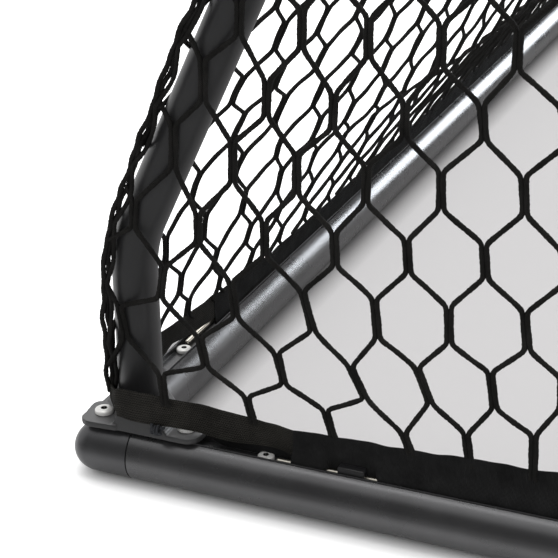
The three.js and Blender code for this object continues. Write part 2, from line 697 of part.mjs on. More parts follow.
function topNet() {
  const stations = uprightStations(NET_OFFSET, NET_BOTTOM, netFront());
  const [from, to] = stations.slice(-2);
  const start = { point: from.point.clone().add(new THREE.Vector2(FIT, 0)), direction: to.direction };
  const low = NET_INSET - NET_THICKNESS / 2;
  const high = WIDTH - low;
  const band = turnedBand([start, to], low, high);
  const holed = band.subtract(bandCutters(start.point, to.point, low, high));
  return toGeometry(cut(holed, bracketRoom()));
}

function sideNet() {
  const offset = NET_OFFSET - NET_THICKNESS / 2 - FIT;
  const edge = uprightStations(offset, NET_BOTTOM, netFront()).map(({ point }) => point);
  const corners = [...edge, new THREE.Vector2(netFront(), NET_BOTTOM)].reverse();
  const slab = toSolid(prism(new THREE.Shape(corners), NET_THICKNESS));
  const window = new THREE.Shape(inset(corners, NET_BORDER));
  const opened = toGeometry(slab.subtract(cutters(window, BASE_DEPTH, CROSSBAR_HEIGHT)));
  opened.rotateX(Math.PI / 2).translate(0, NET_INSET + NET_THICKNESS / 2, 0);
  return toGeometry(cut(toSolid(opened), [bracketRoom()[0], ...lowerRoom()]));
}

// ---------------------------------------------------------------- assembly
// Puts an object at a place with its X and Z turned to the given directions.
function seat(object, place, xDirection, zDirection) {
  const x = new THREE.Vector3(...xDirection);
  const z = new THREE.Vector3(...zDirection);
  const y = z.clone().cross(x);
  object.position.set(...place);
  object.quaternion.setFromRotationMatrix(new THREE.Matrix4().makeBasis(x, y, z));
  return object;
}

function piece(name, geometry, material) {
  const mesh = new THREE.Mesh(geometry, material.clone());
  mesh.name = name;
  return mesh;
}

const BAR_START = ELBOW_REACH + FIT;
const rearCorner = [0, 0, BAR_RADIUS];
const footCorner = [BASE_DEPTH, 0, BAR_RADIUS];
const topCorner = [BASE_DEPTH, 0, CROSSBAR_HEIGHT];

function sideBar(name) {
  const length = BASE_DEPTH - 2 * BAR_START;
  const holes = [
    { at: BRACKET_BOLT_OFFSET - BAR_START, diameter: BOLT_DIAMETER },
    { at: SCREW_OFFSET - BAR_START, diameter: SCREW_DIAMETER },
    { at: length + BAR_START - FOOT_SCREW_OFFSET, diameter: SCREW_DIAMETER },
  ];
  return seat(piece(name, slottedBar(length, holes), barPaint), [BAR_START, 0, BAR_RADIUS], [1, 0, 0], [0, 0, 1]);
}

function frontPost(name) {
  const length = CROSSBAR_HEIGHT - BAR_RADIUS - 2 * BAR_START;
  const holes = [
    { at: FOOT_SCREW_OFFSET - BAR_START, diameter: SCREW_DIAMETER },
    { at: length + BAR_START - BRACKET_BOLT_OFFSET, diameter: BOLT_DIAMETER },
  ];
  const place = [BASE_DEPTH, 0, BAR_RADIUS + BAR_START];
  return seat(piece(name, slottedBar(length, holes), barPaint), place, [0, 0, 1], [-1, 0, 0]);
}

function rearBar() {
  const length = WIDTH - 2 * BAR_START;
  const holes = [];
  for (const offset of [BRACKET_BOLT_OFFSET, SCREW_OFFSET]) {
    const diameter = offset === SCREW_OFFSET ? SCREW_DIAMETER : BOLT_DIAMETER;
    holes.push({ at: offset - BAR_START, diameter });
    holes.push({ at: length + BAR_START - offset, diameter });
  }
  const place = [0, WIDTH - BAR_START, BAR_RADIUS];
  return seat(piece("rear_base_bar", slottedBar(length, holes), barPaint), place, [0, -1, 0], [0, 0, 1]);
}

function crossbar() {
  const length = WIDTH - 2 * BAR_START;
  const at = BRACKET_BOLT_OFFSET - BAR_START;
  const holes = [at, length - at].map((place) => ({ at: place, diameter: BOLT_DIAMETER }));
  const place = [BASE_DEPTH, BAR_START, CROSSBAR_HEIGHT];
  return seat(piece("crossbar", slottedBar(length, holes), barPaint), place, [0, 1, 0], [-1, 0, 0]);
}

// The elbow, bracket, bolts and groove screws of one rear corner.
function rearCornerGroup(side) {
  const group = new THREE.Group();
  const drilled = [
    { at: 0, diameter: BOLT_DIAMETER, onlyAcross: true },
    { at: BRACKET_BOLT_OFFSET, diameter: BOLT_DIAMETER },
    { at: SCREW_OFFSET, diameter: SCREW_DIAMETER },
  ];
  group.add(piece(`rear_corner_elbow_${side}`, elbow(false, drilled), elbowPaint));
  group.add(piece(`rear_corner_bracket_${side}`, cornerBracket(), bracketPaint));
  const names = ["corner", "side", "rear"];
  boltPlaces().forEach(([x, y], k) => {
    group.add(piece(`rear_bracket_${names[k]}_bolt_${side}`, bracketBolt(x, y), zinc));
  });
  group.add(piece(`side_bar_rear_screw_${side}`, slotScrew(SCREW_OFFSET), zinc));
  group.add(piece(`rear_bar_screw_${side}`, slotScrew(SCREW_OFFSET).rotateZ(Math.PI / 2), zinc));
  return seat(group, rearCorner, [1, 0, 0], [0, 0, 1]);
}

// The elbow, bracket and bolts where post, crossbar and upright meet.
function topCornerGroup(side) {
  const group = new THREE.Group();
  const drilled = [
    { at: 0, diameter: BOLT_DIAMETER, onlyAcross: true },
    { at: BRACKET_BOLT_OFFSET, diameter: BOLT_DIAMETER },
  ];
  group.add(piece(`top_corner_elbow_${side}`, elbow(false, drilled), elbowPaint));
  group.add(piece(`top_corner_bracket_${side}`, cornerBracket(), bracketPaint));
  const names = ["corner", "crossbar", "post"];
  boltPlaces().forEach(([x, y], k) => {
    group.add(piece(`top_bracket_${names[k]}_bolt_${side}`, bracketBolt(x, y), zinc));
  });
  return seat(group, topCorner, [0, 1, 0], [-1, 0, 0]);
}

// The elbow between side bar and post, whose grooves face each other, and its two screws.
function footGroup(side) {
  const group = new THREE.Group();
  const drilled = [{ at: FOOT_SCREW_OFFSET, diameter: SCREW_DIAMETER }];
  group.add(piece(`front_foot_elbow_${side}`, elbow(true, drilled), elbowPaint));
  const barScrew = slotScrew(FOOT_SCREW_OFFSET).rotateX(-Math.PI / 2);
  const postScrew = slotScrew(FOOT_SCREW_OFFSET).rotateX(Math.PI / 2).rotateZ(Math.PI / 2);
  group.add(piece(`side_bar_front_screw_${side}`, barScrew, zinc));
  group.add(piece(`post_foot_screw_${side}`, postScrew, zinc));
  return seat(group, footCorner, [-1, 0, 0], [0, 1, 0]);
}

function sideRods(side) {
  const sideRod = piece(`side_net_rod_${side}`, netRod(ROD_START, BASE_DEPTH - ROD_FRONT_START), steel);
  const postTop = CROSSBAR_HEIGHT - BAR_RADIUS - ROD_FRONT_START;
  const postRod = piece(`post_net_rod_${side}`, netRod(ROD_FRONT_START, postTop), steel);
  return [
    seat(sideRod, rearCorner, [1, 0, 0], [0, 0, 1]),
    seat(postRod, footCorner, [0, 0, 1], [-1, 0, 0]),
  ];
}

function sideClips(side) {
  const places = [
    [`side_rod_clip_${side}`, [SIDE_CLIP_OFFSET, 0, BAR_RADIUS], [1, 0, 0], [0, 0, 1]],
    [`rear_rod_clip_${side}`, [0, REAR_CLIP_OFFSET, BAR_RADIUS], [0, -1, 0], [0, 0, 1]],
    [`post_rod_clip_${side}`, [BASE_DEPTH, 0, POST_CLIP_HEIGHT], [0, 0, 1], [-1, 0, 0]],
    [`crossbar_rod_clip_${side}`, [BASE_DEPTH, CROSSBAR_CLIP_OFFSET, CROSSBAR_HEIGHT], [0, 1, 0], [-1, 0, 0]],
  ];
  return places.map(([name, place, x, z]) => seat(piece(name, rodClip(), plastic), place, x, z));
}

function halfGoal(side) {
  const half = new THREE.Group();
  half.add(sideBar(`side_base_bar_${side}`), frontPost(`front_post_${side}`));
  half.add(rearCornerGroup(side), footGroup(side), topCornerGroup(side));
  half.add(piece(`rear_upright_${side}`, rearUpright(), tubePaint));
  half.add(...sideRods(side), ...sideClips(side));
  half.add(piece(`side_net_${side}`, sideNet(), cord));
  half.add(piece(`corner_tie_${side}`, cornerTie(), cord));
  return half;
}

const goal = new THREE.Group();
goal.add(halfGoal("left"));

const rightHalf = halfGoal("right");
rightHalf.scale.y = -1;
rightHalf.position.y = WIDTH;
goal.add(rightHalf);

goal.add(rearBar(), crossbar());

const topBar = piece("rear_top_bar", rearTopBar(), tubePaint);
const topBarAt = topBarPlace();
topBar.position.set(topBarAt.x, 0, topBarAt.y);
goal.add(topBar);

const rearRod = piece("rear_net_rod", netRod(ROD_START, WIDTH - ROD_START), steel);
goal.add(seat(rearRod, [0, WIDTH, BAR_RADIUS], [0, -1, 0], [0, 0, 1]));
const crossbarRod = piece("crossbar_net_rod", netRod(ROD_FRONT_START, WIDTH - ROD_FRONT_START), steel);
goal.add(seat(crossbarRod, topCorner, [0, 1, 0], [-1, 0, 0]));

goal.add(piece("base_hem", baseHem(), webbing));
goal.add(piece("back_net", backNet(), cord));
goal.add(piece("top_net", topNet(), cord));

// The origin lies on the floor under the middle of the goal.
goal.position.set(-BASE_DEPTH / 2, -WIDTH / 2, 0);
const part = new THREE.Group();
part.add(goal);

export default part;
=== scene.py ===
# %% [markdown]
# # A street hockey goal in Blender
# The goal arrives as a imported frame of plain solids. It is loaded first and stays where it is.
# Everything below dresses it: finer bars and castings, a braided net, sewn webbing, and finishes.

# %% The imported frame
import math

import bmesh
import bpy
import numpy as np
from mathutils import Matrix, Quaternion, Vector


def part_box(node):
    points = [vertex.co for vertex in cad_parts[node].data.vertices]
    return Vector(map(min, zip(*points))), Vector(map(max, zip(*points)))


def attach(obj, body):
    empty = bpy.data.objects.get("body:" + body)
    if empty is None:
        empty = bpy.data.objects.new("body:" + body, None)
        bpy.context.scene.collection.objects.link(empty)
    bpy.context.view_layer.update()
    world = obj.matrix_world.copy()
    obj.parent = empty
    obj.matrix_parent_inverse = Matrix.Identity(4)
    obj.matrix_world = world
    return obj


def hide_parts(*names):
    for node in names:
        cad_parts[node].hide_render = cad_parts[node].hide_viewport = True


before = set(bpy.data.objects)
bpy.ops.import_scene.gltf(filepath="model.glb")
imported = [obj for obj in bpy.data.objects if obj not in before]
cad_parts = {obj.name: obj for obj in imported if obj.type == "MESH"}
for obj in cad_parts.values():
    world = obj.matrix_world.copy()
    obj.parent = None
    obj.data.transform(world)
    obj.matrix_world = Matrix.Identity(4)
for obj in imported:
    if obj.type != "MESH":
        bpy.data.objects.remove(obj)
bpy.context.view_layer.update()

# %% [markdown]
# ## Sizes and places
# The sizes are in millimetres, as on a drawing. A left-hand piece is drawn from the point where
# the axes of the left side bar and of the rear bar cross, on the floor. `placed` turns a piece's
# own axes into the part's, in metres, and mirrors it for the right-hand side.

# %% Sizes and places
MM = 0.001
MOUTH_WIDTH, MOUTH_HEIGHT, BASE_DEPTH = 1830, 1220, 820
FIT = 0.3
BAR_RADIUS = 25.5
GOAL_WIDTH = MOUTH_WIDTH + 2 * BAR_RADIUS
CROSSBAR_HEIGHT = MOUTH_HEIGHT + BAR_RADIUS
FRAME_BODY = "goal_frame"
FLOOR_ALONG, FLOOR_UP = (1, 0, 0), (0, 0, 1)


def placed(points, origin=(0, 0, 0), along=FLOOR_ALONG, up=FLOOR_UP, right_side=False):
    along, up = np.array(along, float), np.array(up, float)
    axes = np.array([along, np.cross(up, along), up])
    world = np.asarray(points, float).reshape(-1, 3) @ axes + np.array(origin, float)
    world -= [BASE_DEPTH / 2, GOAL_WIDTH / 2, 0]
    if right_side:
        world[:, 1] *= -1
    return world * MM


REAR_CORNER = dict(origin=(0, 0, BAR_RADIUS))
FOOT_CORNER = dict(origin=(BASE_DEPTH, 0, BAR_RADIUS), along=(-1, 0, 0), up=(0, 1, 0))
TOP_CORNER = dict(origin=(BASE_DEPTH, 0, CROSSBAR_HEIGHT), along=(0, 1, 0), up=(-1, 0, 0))
print("between the side bar axes:", GOAL_WIDTH, "mm; crossbar axis at", CROSSBAR_HEIGHT, "mm")

# %% [markdown]
# ## The camera
# The photograph is a close look at one rear corner with a long lens. The camera stands where
# that view was taken from, and leans by one degree.

# %% The camera
CAMERA_PLACE = Vector((0.3102, -2.1566, 0.8232))
CAMERA_AIM = Vector((-0.37366, 0.83000, -0.41409))
CAMERA_ROLL = math.radians(-1.003)
CAMERA_LENS, CAMERA_SENSOR = 115.63, 36

lens = bpy.data.cameras.new("studio_camera")
lens.lens, lens.sensor_width, lens.sensor_fit = CAMERA_LENS, CAMERA_SENSOR, "AUTO"
lens.clip_start, lens.clip_end = 0.1, 60
camera = bpy.data.objects.new("studio_camera", lens)
bpy.context.scene.collection.objects.link(camera)
camera.location = CAMERA_PLACE
camera.rotation_mode = "QUATERNION"
camera.rotation_quaternion = CAMERA_AIM.to_track_quat("-Z", "Y") @ Quaternion((0, 0, 1), CAMERA_ROLL)
bpy.context.scene.camera = camera
print("camera at", tuple(CAMERA_PLACE), "with a", CAMERA_LENS, "mm lens")

# %% [markdown]
# ## Light, floor and backdrop
# A plain studio: a bright surround and one broad lamp overhead, together about as strong as
# daylight on paper, so a colour renders as it is written. The surround shows pure white to the
# camera and in gloss. The floor is white outside the goal and pale grey inside its base.

# %% Light, floor and backdrop
SURROUND_LIGHT = 0.60
LAMP_POWER, LAMP_SIZE, LAMP_PLACE = 55, 3.0, (-0.3, -0.1, 3.4)
REAR_LAMP_POWER, REAR_LAMP_SIZE, REAR_LAMP_PLACE = 74, (1.6, 1.2), (0.78, 3.1, 1.0)
REAR_LAMP_AIM = (-0.41, -0.05, 0.05)
ROOM_SIDE, ROOM_SPREAD, ROOM_GREY = (0.41, -0.91, 0.0), (-0.25, 0.50), 0.11
ROOM_DARK_BELOW, ROOM_WHITE_ABOVE = 0.56, 0.92
FLOOR_SIZE = 14
FLOOR_WHITE, FLOOR_GREY = (0.92, 0.92, 0.92, 1), (0.395, 0.395 * 0.985, 0.395 * 0.99, 1)
FLOOR_LIFT, FLOOR_SHOWN_LIFT, FLOOR_CONTACT, CONTACT_POWER = 0.55, 0.44, 0.030, 1.7
FLOOR_DIM, FLOOR_DIM_FROM, FLOOR_DIM_TO = 0.24, -0.955, -1.09

scene = bpy.context.scene
scene.view_settings.view_transform = "Standard"


def link(tree, source, target):
    tree.links.new(source, target)


def node(tree, kind, **settings):
    made = tree.nodes.new(kind)
    for key, value in settings.items():
        setattr(made, key, value)
    return made


def wired(tree, kind, inputs, output=0, **settings):
    """A node whose inputs, by name or number, get a value or a link; returns one of its outputs."""
    made = node(tree, kind, **settings)
    for key, value in inputs.items():
        if isinstance(value, bpy.types.NodeSocket):
            link(tree, value, made.inputs[key])
        else:
            made.inputs[key].default_value = value
    return made.outputs[output]


def math_node(tree, operation, *values):
    return wired(tree, "ShaderNodeMath", dict(enumerate(values)), operation=operation)


def ramp(tree, value, low, high):
    ends = {"Value": value, "From Min": low, "From Max": high}
    return wired(tree, "ShaderNodeMapRange", ends, "Result", interpolation_type="SMOOTHSTEP")


def mix_colour(tree, share, low, high):
    return wired(tree, "ShaderNodeMix", {"Factor": share, "A": low, "B": high}, "Result", data_type="RGBA")


def shown_ray(tree):
    rays = node(tree, "ShaderNodeLightPath").outputs
    first = math_node(tree, "MAXIMUM", rays["Is Camera Ray"], rays["Is Glossy Ray"])
    return math_node(tree, "MAXIMUM", first, rays["Is Transmission Ray"])


world = bpy.data.worlds.new("studio_surround")
world.use_nodes = True
scene.world = world
sky = world.node_tree
sky.nodes.clear()
plain = wired(sky, "ShaderNodeBackground", {"Color": (1, 1, 1, 1), "Strength": SURROUND_LIGHT})
white = node(sky, "ShaderNodeBackground")
mixed = wired(sky, "ShaderNodeMixShader", {0: shown_ray(sky), 1: plain, 2: white.outputs[0]})
link(sky, mixed, node(sky, "ShaderNodeOutputWorld").inputs["Surface"])

# %% [markdown]
# A studio is white behind the object and overhead, and dim on the side where the photographer
# stands. Satin paint shows that: the bars carry a dark band between two light ones. So gloss sees
# a grey room low down on one fixed side of the surround, and white everywhere else.

# %% The dim side of the room
direction = node(sky, "ShaderNodeTexCoord").outputs["Generated"]
facing = wired(sky, "ShaderNodeVectorMath", {0: direction, 1: ROOM_SIDE}, "Value", operation="DOT_PRODUCT")
height = wired(sky, "ShaderNodeSeparateXYZ", {0: direction}, "Z")
low_side = math_node(sky, "MULTIPLY", ramp(sky, facing, *ROOM_SPREAD),
                     ramp(sky, height, ROOM_WHITE_ABOVE, ROOM_DARK_BELOW))
gloss_only = math_node(sky, "MULTIPLY", low_side, node(sky, "ShaderNodeLightPath").outputs["Is Glossy Ray"])
room = mix_colour(sky, gloss_only, (1, 1, 1, 1), (ROOM_GREY, ROOM_GREY, ROOM_GREY, 1))
link(sky, room, white.inputs["Color"])

lamp = bpy.data.lights.new("overhead_softbox", "AREA")
lamp.energy, lamp.size = LAMP_POWER, LAMP_SIZE
softbox = bpy.data.objects.new("overhead_softbox", lamp)
softbox.location = LAMP_PLACE
scene.collection.objects.link(softbox)

# A second panel stands low behind the goal. It only makes the long streaks on paint and tube.
lamp = bpy.data.lights.new("rear_panel", "AREA")
lamp.shape, lamp.color = "RECTANGLE", (0.90, 0.95, 1.0)
lamp.energy, (lamp.size, lamp.size_y) = REAR_LAMP_POWER, REAR_LAMP_SIZE
rear_panel = bpy.data.objects.new("rear_panel", lamp)
rear_panel.location = REAR_LAMP_PLACE
rear_panel.rotation_mode = "QUATERNION"
rear_panel.rotation_quaternion = (Vector(REAR_LAMP_AIM) - rear_panel.location).to_track_quat("-Z", "Y")
rear_panel.visible_diffuse = False
scene.collection.objects.link(rear_panel)
print("surround", SURROUND_LIGHT, "lamps", LAMP_POWER, "and", REAR_LAMP_POWER, "W")

# %% The floor
floor_material = bpy.data.materials.new("studio_floor")
floor_material.use_nodes = True
tree = floor_material.node_tree
tree.nodes.clear()
split = node(tree, "ShaderNodeSeparateXYZ")
link(tree, node(tree, "ShaderNodeTexCoord").outputs["Object"], split.inputs[0])
inside = [math_node(tree, "LESS_THAN", math_node(tree, "ABSOLUTE", split.outputs[axis]), size / 2 * MM)
          for axis, size in (("X", BASE_DEPTH), ("Y", GOAL_WIDTH))]
tone = mix_colour(tree, math_node(tree, "MULTIPLY", *inside), FLOOR_WHITE, FLOOR_GREY)
rays = node(tree, "ShaderNodeLightPath").outputs
# Seen in gloss, the floor in front of the near side bar is painted darker: a painted shade that the bars'
# paint reflects.
dim = math_node(tree, "MULTIPLY", ramp(tree, split.outputs["Y"], FLOOR_DIM_FROM, FLOOR_DIM_TO), 1 - FLOOR_DIM)
dimmed = mix_colour(tree, math_node(tree, "MULTIPLY", dim, rays["Is Glossy Ray"]), tone, (0, 0, 0, 1))
lift = math_node(tree, "MULTIPLY", shown_ray(tree), FLOOR_LIFT)
in_view = math_node(tree, "MULTIPLY_ADD", rays["Is Camera Ray"], FLOOR_SHOWN_LIFT, lift)
# Near the goal the glow fades with ambient occlusion: a painted contact shadow on the floor.
contact = wired(tree, "ShaderNodeAmbientOcclusion", {"Distance": FLOOR_CONTACT}, "AO", samples=8)
lit = math_node(tree, "MULTIPLY", in_view, math_node(tree, "POWER", contact, CONTACT_POWER))
paper = wired(tree, "ShaderNodeBsdfDiffuse", {"Color": dimmed})
glow = wired(tree, "ShaderNodeEmission", {"Color": dimmed, "Strength": lit})
total = wired(tree, "ShaderNodeAddShader", {0: paper, 1: glow})
link(tree, total, node(tree, "ShaderNodeOutputMaterial").inputs["Surface"])

floor_mesh = bpy.data.meshes.new("studio_floor")
reach = FLOOR_SIZE / 2
floor_mesh.from_pydata(
    [(-reach, -reach, 0), (reach, -reach, 0), (reach, reach, 0), (-reach, reach, 0)], [], [(0, 1, 2, 3)]
)
floor_mesh.materials.append(floor_material)
floor = bpy.data.objects.new("studio_floor", floor_mesh)
scene.collection.objects.link(floor)
print("floor", FLOOR_SIZE, "m wide")

# %% [markdown]
# ## Effects that several finishes share
# Each effect is a node group with named inputs and outputs, so that a finish only sets values:
# `fine_grain` is the peel of sprayed paint, `rubbed_patches` the dull and shiny clouds that hands
# leave, `woven_ribs` the ribs and threads of webbing, and `braided_strands` a cord's plait.

# %% A group with named sockets
def make_group(name, inputs, outputs):
    group = bpy.data.node_groups.new(name, "ShaderNodeTree")
    for label, kind, value in inputs:
        socket = group.interface.new_socket(label, in_out="INPUT", socket_type=kind)
        if value is not None:
            socket.default_value = value
    for label, kind in outputs:
        group.interface.new_socket(label, in_out="OUTPUT", socket_type=kind)
    return group, node(group, "NodeGroupInput"), node(group, "NodeGroupOutput")


def noise(tree, vector, scale, detail=2.0, roughness=0.5):
    inputs = {"Vector": vector, "Scale": scale, "Detail": detail, "Roughness": roughness}
    return wired(tree, "ShaderNodeTexNoise", inputs, "Fac")


VECTOR, FLOAT = "NodeSocketVector", "NodeSocketFloat"

fine_grain, source, target = make_group(
    "fine_grain", [("Vector", VECTOR, None), ("Scale", FLOAT, 900.0)], [("Height", FLOAT), ("Fleck", FLOAT)]
)
peel = noise(fine_grain, source.outputs["Vector"], source.outputs["Scale"], 3.0, 0.6)
link(fine_grain, peel, target.inputs["Height"])
doubled = math_node(fine_grain, "MULTIPLY", source.outputs["Scale"], 2.3)
fleck = noise(fine_grain, source.outputs["Vector"], doubled, 1.0, 0.5)
link(fine_grain, ramp(fine_grain, fleck, 0.60, 0.78), target.inputs["Fleck"])

rubbed_patches, source, target = make_group(
    "rubbed_patches", [("Vector", VECTOR, None), ("Scale", FLOAT, 14.0)], [("Cloud", FLOAT), ("Scuff", FLOAT)]
)
cloud = noise(rubbed_patches, source.outputs["Vector"], source.outputs["Scale"], 4.0, 0.6)
link(rubbed_patches, cloud, target.inputs["Cloud"])
tripled = math_node(rubbed_patches, "MULTIPLY", source.outputs["Scale"], 3.1)
scuff = noise(rubbed_patches, source.outputs["Vector"], tripled, 5.0, 0.7)
link(rubbed_patches, ramp(rubbed_patches, scuff, 0.60, 0.75), target.inputs["Scuff"])
print("shared groups:", [g.name for g in bpy.data.node_groups])

# %% [markdown]
# Webbing and cord carry a UV map that is measured in millimetres: U runs along the piece and V
# across or round it. Both patterns are sums of waves on those two numbers, so that a thread has
# its real width wherever the piece bends.

# %% Woven ribs and braided strands
woven_ribs, source, target = make_group(
    "woven_ribs",
    [("Vector", VECTOR, None), ("Rib", FLOAT, 1.3), ("Thread", FLOAT, 0.8), ("Slant", FLOAT, 0.0),
     ("Fuzz", FLOAT, 0.5)],
    [("Height", FLOAT), ("Shade", FLOAT)],
)
parts = node(woven_ribs, "ShaderNodeSeparateXYZ")
link(woven_ribs, source.outputs["Vector"], parts.inputs[0])
wobble = noise(woven_ribs, source.outputs["Vector"], 0.22, 3.0, 0.6)
shifted = math_node(woven_ribs, "ADD", parts.outputs["X"], math_node(woven_ribs, "MULTIPLY", wobble, 1.6))
slanted = math_node(woven_ribs, "MULTIPLY_ADD", parts.outputs["Y"], source.outputs["Slant"], shifted)
ribs = math_node(woven_ribs, "SINE", math_node(woven_ribs, "MULTIPLY",
    math_node(woven_ribs, "DIVIDE", slanted, source.outputs["Rib"]), 2 * math.pi))
across = math_node(woven_ribs, "DIVIDE", parts.outputs["Y"], source.outputs["Thread"])
threads = math_node(woven_ribs, "SINE", math_node(woven_ribs, "MULTIPLY", across, 2 * math.pi))
weave = math_node(woven_ribs, "MULTIPLY_ADD", threads, 0.6, ribs)
fuzz = noise(woven_ribs, source.outputs["Vector"], 1.1, 4.0, 0.7)
raised = math_node(woven_ribs, "MULTIPLY_ADD", fuzz, source.outputs["Fuzz"], weave)
link(woven_ribs, raised, target.inputs["Height"])
# The shade is paler where the weave stands up: painted light on the raised ribs and threads, painted shade
# between them.
link(woven_ribs, ramp(woven_ribs, raised, -0.9, 1.7), target.inputs["Shade"])

braided_strands, source, target = make_group(
    "braided_strands",
    [("Vector", VECTOR, None), ("Pitch", FLOAT, 3.4), ("Strand", FLOAT, 2.4)],
    [("Height", FLOAT), ("Shade", FLOAT)],
)
parts = node(braided_strands, "ShaderNodeSeparateXYZ")
link(braided_strands, source.outputs["Vector"], parts.inputs[0])
run = math_node(braided_strands, "DIVIDE", parts.outputs["X"], source.outputs["Pitch"])
turn = math_node(braided_strands, "DIVIDE", parts.outputs["Y"], source.outputs["Strand"])
plaits = []
for sign in (1, -1):
    phase = math_node(braided_strands, "MULTIPLY_ADD", turn, sign, run)
    wave = math_node(braided_strands, "SINE", math_node(braided_strands, "MULTIPLY", phase, 2 * math.pi))
    plaits.append(math_node(braided_strands, "ABSOLUTE", wave))
plait = math_node(braided_strands, "MULTIPLY", plaits[0], plaits[1])
fibre = noise(braided_strands, source.outputs["Vector"], 1.6, 3.0, 0.7)
raised = math_node(braided_strands, "MULTIPLY_ADD", fibre, 0.35, plait)
link(braided_strands, raised, target.inputs["Height"])
# The shade is paler on the plait's crowns: painted highlights on the strands, painted shade between them.
link(braided_strands, ramp(braided_strands, raised, 0.1, 1.1), target.inputs["Shade"])

# %% [markdown]
# ## The finishes
# A finish is a Principled shader whose plain numbers sit on its own sockets. Its colour is mixed
# between a low and a high tone by what the groups say, its roughness moves a little with the
# clouds, and a bump gives the grain its relief.

# %% How a finish is made
def finish(name, low, high, mask, rough, height, bump_distance, **sockets):
    """mask, rough and height are functions of the node tree that return a socket."""
    material = bpy.data.materials.new(name)
    material.use_nodes = True
    tree = material.node_tree
    shader = tree.nodes["Principled BSDF"]
    for label, value in sockets.items():
        shader.inputs[label.replace("_", " ")].default_value = value
    bump = wired(tree, "ShaderNodeBump", {"Distance": bump_distance, "Height": height(tree)}, "Normal")
    link(tree, mix_colour(tree, mask(tree), (*low, 1), (*high, 1)), shader.inputs["Base Color"])
    link(tree, rough(tree), shader.inputs["Roughness"])
    link(tree, bump, shader.inputs["Normal"])
    return material


def placed_group(tree, group, coordinates="Object", **values):
    """A group fed by object coordinates, or by the UV map in millimetres."""
    label = group.name + "_" + coordinates + str(sorted(values.items()))
    if label in tree.nodes:
        return tree.nodes[label].outputs
    made = node(tree, "ShaderNodeGroup", node_tree=group, name=label)
    vector = node(tree, "ShaderNodeTexCoord").outputs[coordinates]
    link(tree, vector, made.inputs["Vector"])
    for key, value in values.items():
        made.inputs[key].default_value = value
    return made.outputs


def cloud_between(low, high, scale=14.0):
    def socket(tree):
        cloud = placed_group(tree, rubbed_patches, Scale=scale)["Cloud"]
        ends = {"Value": cloud, "From Min": 0.3, "From Max": 0.7, "To Min": low, "To Max": high}
        return wired(tree, "ShaderNodeMapRange", ends, "Result")
    return socket


def grain_mask(scale, cloud_scale=14.0, flecks=0.3):
    """Mostly cloud, with flecks of the metal flake in the paint."""
    def socket(tree):
        fleck = placed_group(tree, fine_grain, Scale=scale)["Fleck"]
        cloud = cloud_between(0.1, 0.9, cloud_scale)(tree)
        return math_node(tree, "MULTIPLY_ADD", fleck, flecks, math_node(tree, "MULTIPLY", cloud, 1 - flecks))
    return socket


def grain_height(scale):
    return lambda tree: placed_group(tree, fine_grain, Scale=scale)["Height"]


def paint(name, low, high, roughness, metallic, grain=900.0, relief=0.00006, flecks=0.3):
    return finish(
        name, low, high, grain_mask(grain, flecks=flecks),
        cloud_between(roughness - 0.04, roughness + 0.05), grain_height(grain), relief,
        Metallic=metallic,
    )


def dusty_mask(scale):
    """Grain, and a painted top light: faces that look up are painted paler, so that the casting's top is
    paler than its sides.
    """
    def socket(tree):
        split = node(tree, "ShaderNodeSeparateXYZ")
        link(tree, node(tree, "ShaderNodeNewGeometry").outputs["Normal"], split.inputs[0])
        # The paler tone of the upward faces is a painted top light.
        painted_top_light = math_node(tree, "MULTIPLY", ramp(tree, split.outputs["Z"], 0.25, 0.95), 0.55)
        return math_node(tree, "MULTIPLY_ADD", grain_mask(scale)(tree), 0.35, painted_top_light)
    return socket


KEY_SHARE = 0.18


def outside_key(share):
    """A fastener's UV map holds the distance from its axis over the head's width; inside the key the colour
    is painted dark, a painted shade in the recess.
    """
    def socket(tree):
        split = node(tree, "ShaderNodeSeparateXYZ")
        link(tree, node(tree, "ShaderNodeTexCoord").outputs["UV"], split.inputs[0])
        # Inside the key the colour is painted dark: painted shade in the recess.
        return math_node(tree, "MULTIPLY", ramp(tree, split.outputs["X"], share * 0.94, share * 1.04),
                         cloud_between(0.88, 1.0, 300.0)(tree))
    return socket


bar_paint = paint("bar_paint", (0.100, 0.100, 0.102), (0.146, 0.145, 0.149), 0.27, 0.80,
                  1500.0, 0.00003, 0.15)
elbow_paint = paint("elbow_paint", (0.082, 0.082, 0.085), (0.115, 0.115, 0.119), 0.33, 0.75)
# The casting is painted paler on faces that look up: a painted top light.
bracket_paint = finish(
    "bracket_paint", (0.048, 0.048, 0.049), (0.200, 0.200, 0.202), dusty_mask(1300.0),
    cloud_between(0.40, 0.50), grain_height(1300.0), 0.00018, Metallic=0.55,
)
tube_paint = paint("tube_paint", (0.036, 0.036, 0.037), (0.052, 0.052, 0.054), 0.38, 0.25)
# The low tone is painted shade in the hexagon key.
zinc = finish(
    "zinc_fasteners", (0.012, 0.011, 0.010), (1.0, 0.99, 0.96), outside_key(KEY_SHARE),
    cloud_between(0.24, 0.34), grain_height(1500.0), 0.00002,
    Metallic=0.22, Coat_Weight=0.7, Coat_Roughness=0.06,
)
rod_steel = paint("net_rod_steel", (0.62, 0.58, 0.50), (0.78, 0.75, 0.68), 0.26, 1.0, 1200.0, 0.00003)
clip_plastic = paint("clip_plastic", (0.014, 0.014, 0.015), (0.024, 0.024, 0.025), 0.38, 0.0, 800.0)
print("painted, plated and moulded finishes:", len(bpy.data.materials) - 1)

# %% Cloth finishes
def woven(group, label, **values):
    return lambda tree: placed_group(tree, group, "UV", **values)[label]


def relief_shade_in_clouds(group, **values):
    """The weave's painted light and shade, paler in random clouds."""
    def socket(tree):
        shade, paler_clouds = woven(group, "Shade", **values), cloud_between(0.35, 1.0, 38.0)
        return math_node(tree, "MULTIPLY", shade(tree), paler_clouds(tree))
    return socket


def cloth(name, low, high, group, relief, roughness, specular=0.12, **values):
    return finish(
        name, low, high, relief_shade_in_clouds(group, **values), cloud_between(roughness - 0.05, roughness + 0.03, 60.0),
        woven(group, "Height", **values), relief, Specular_IOR_Level=specular,
    )


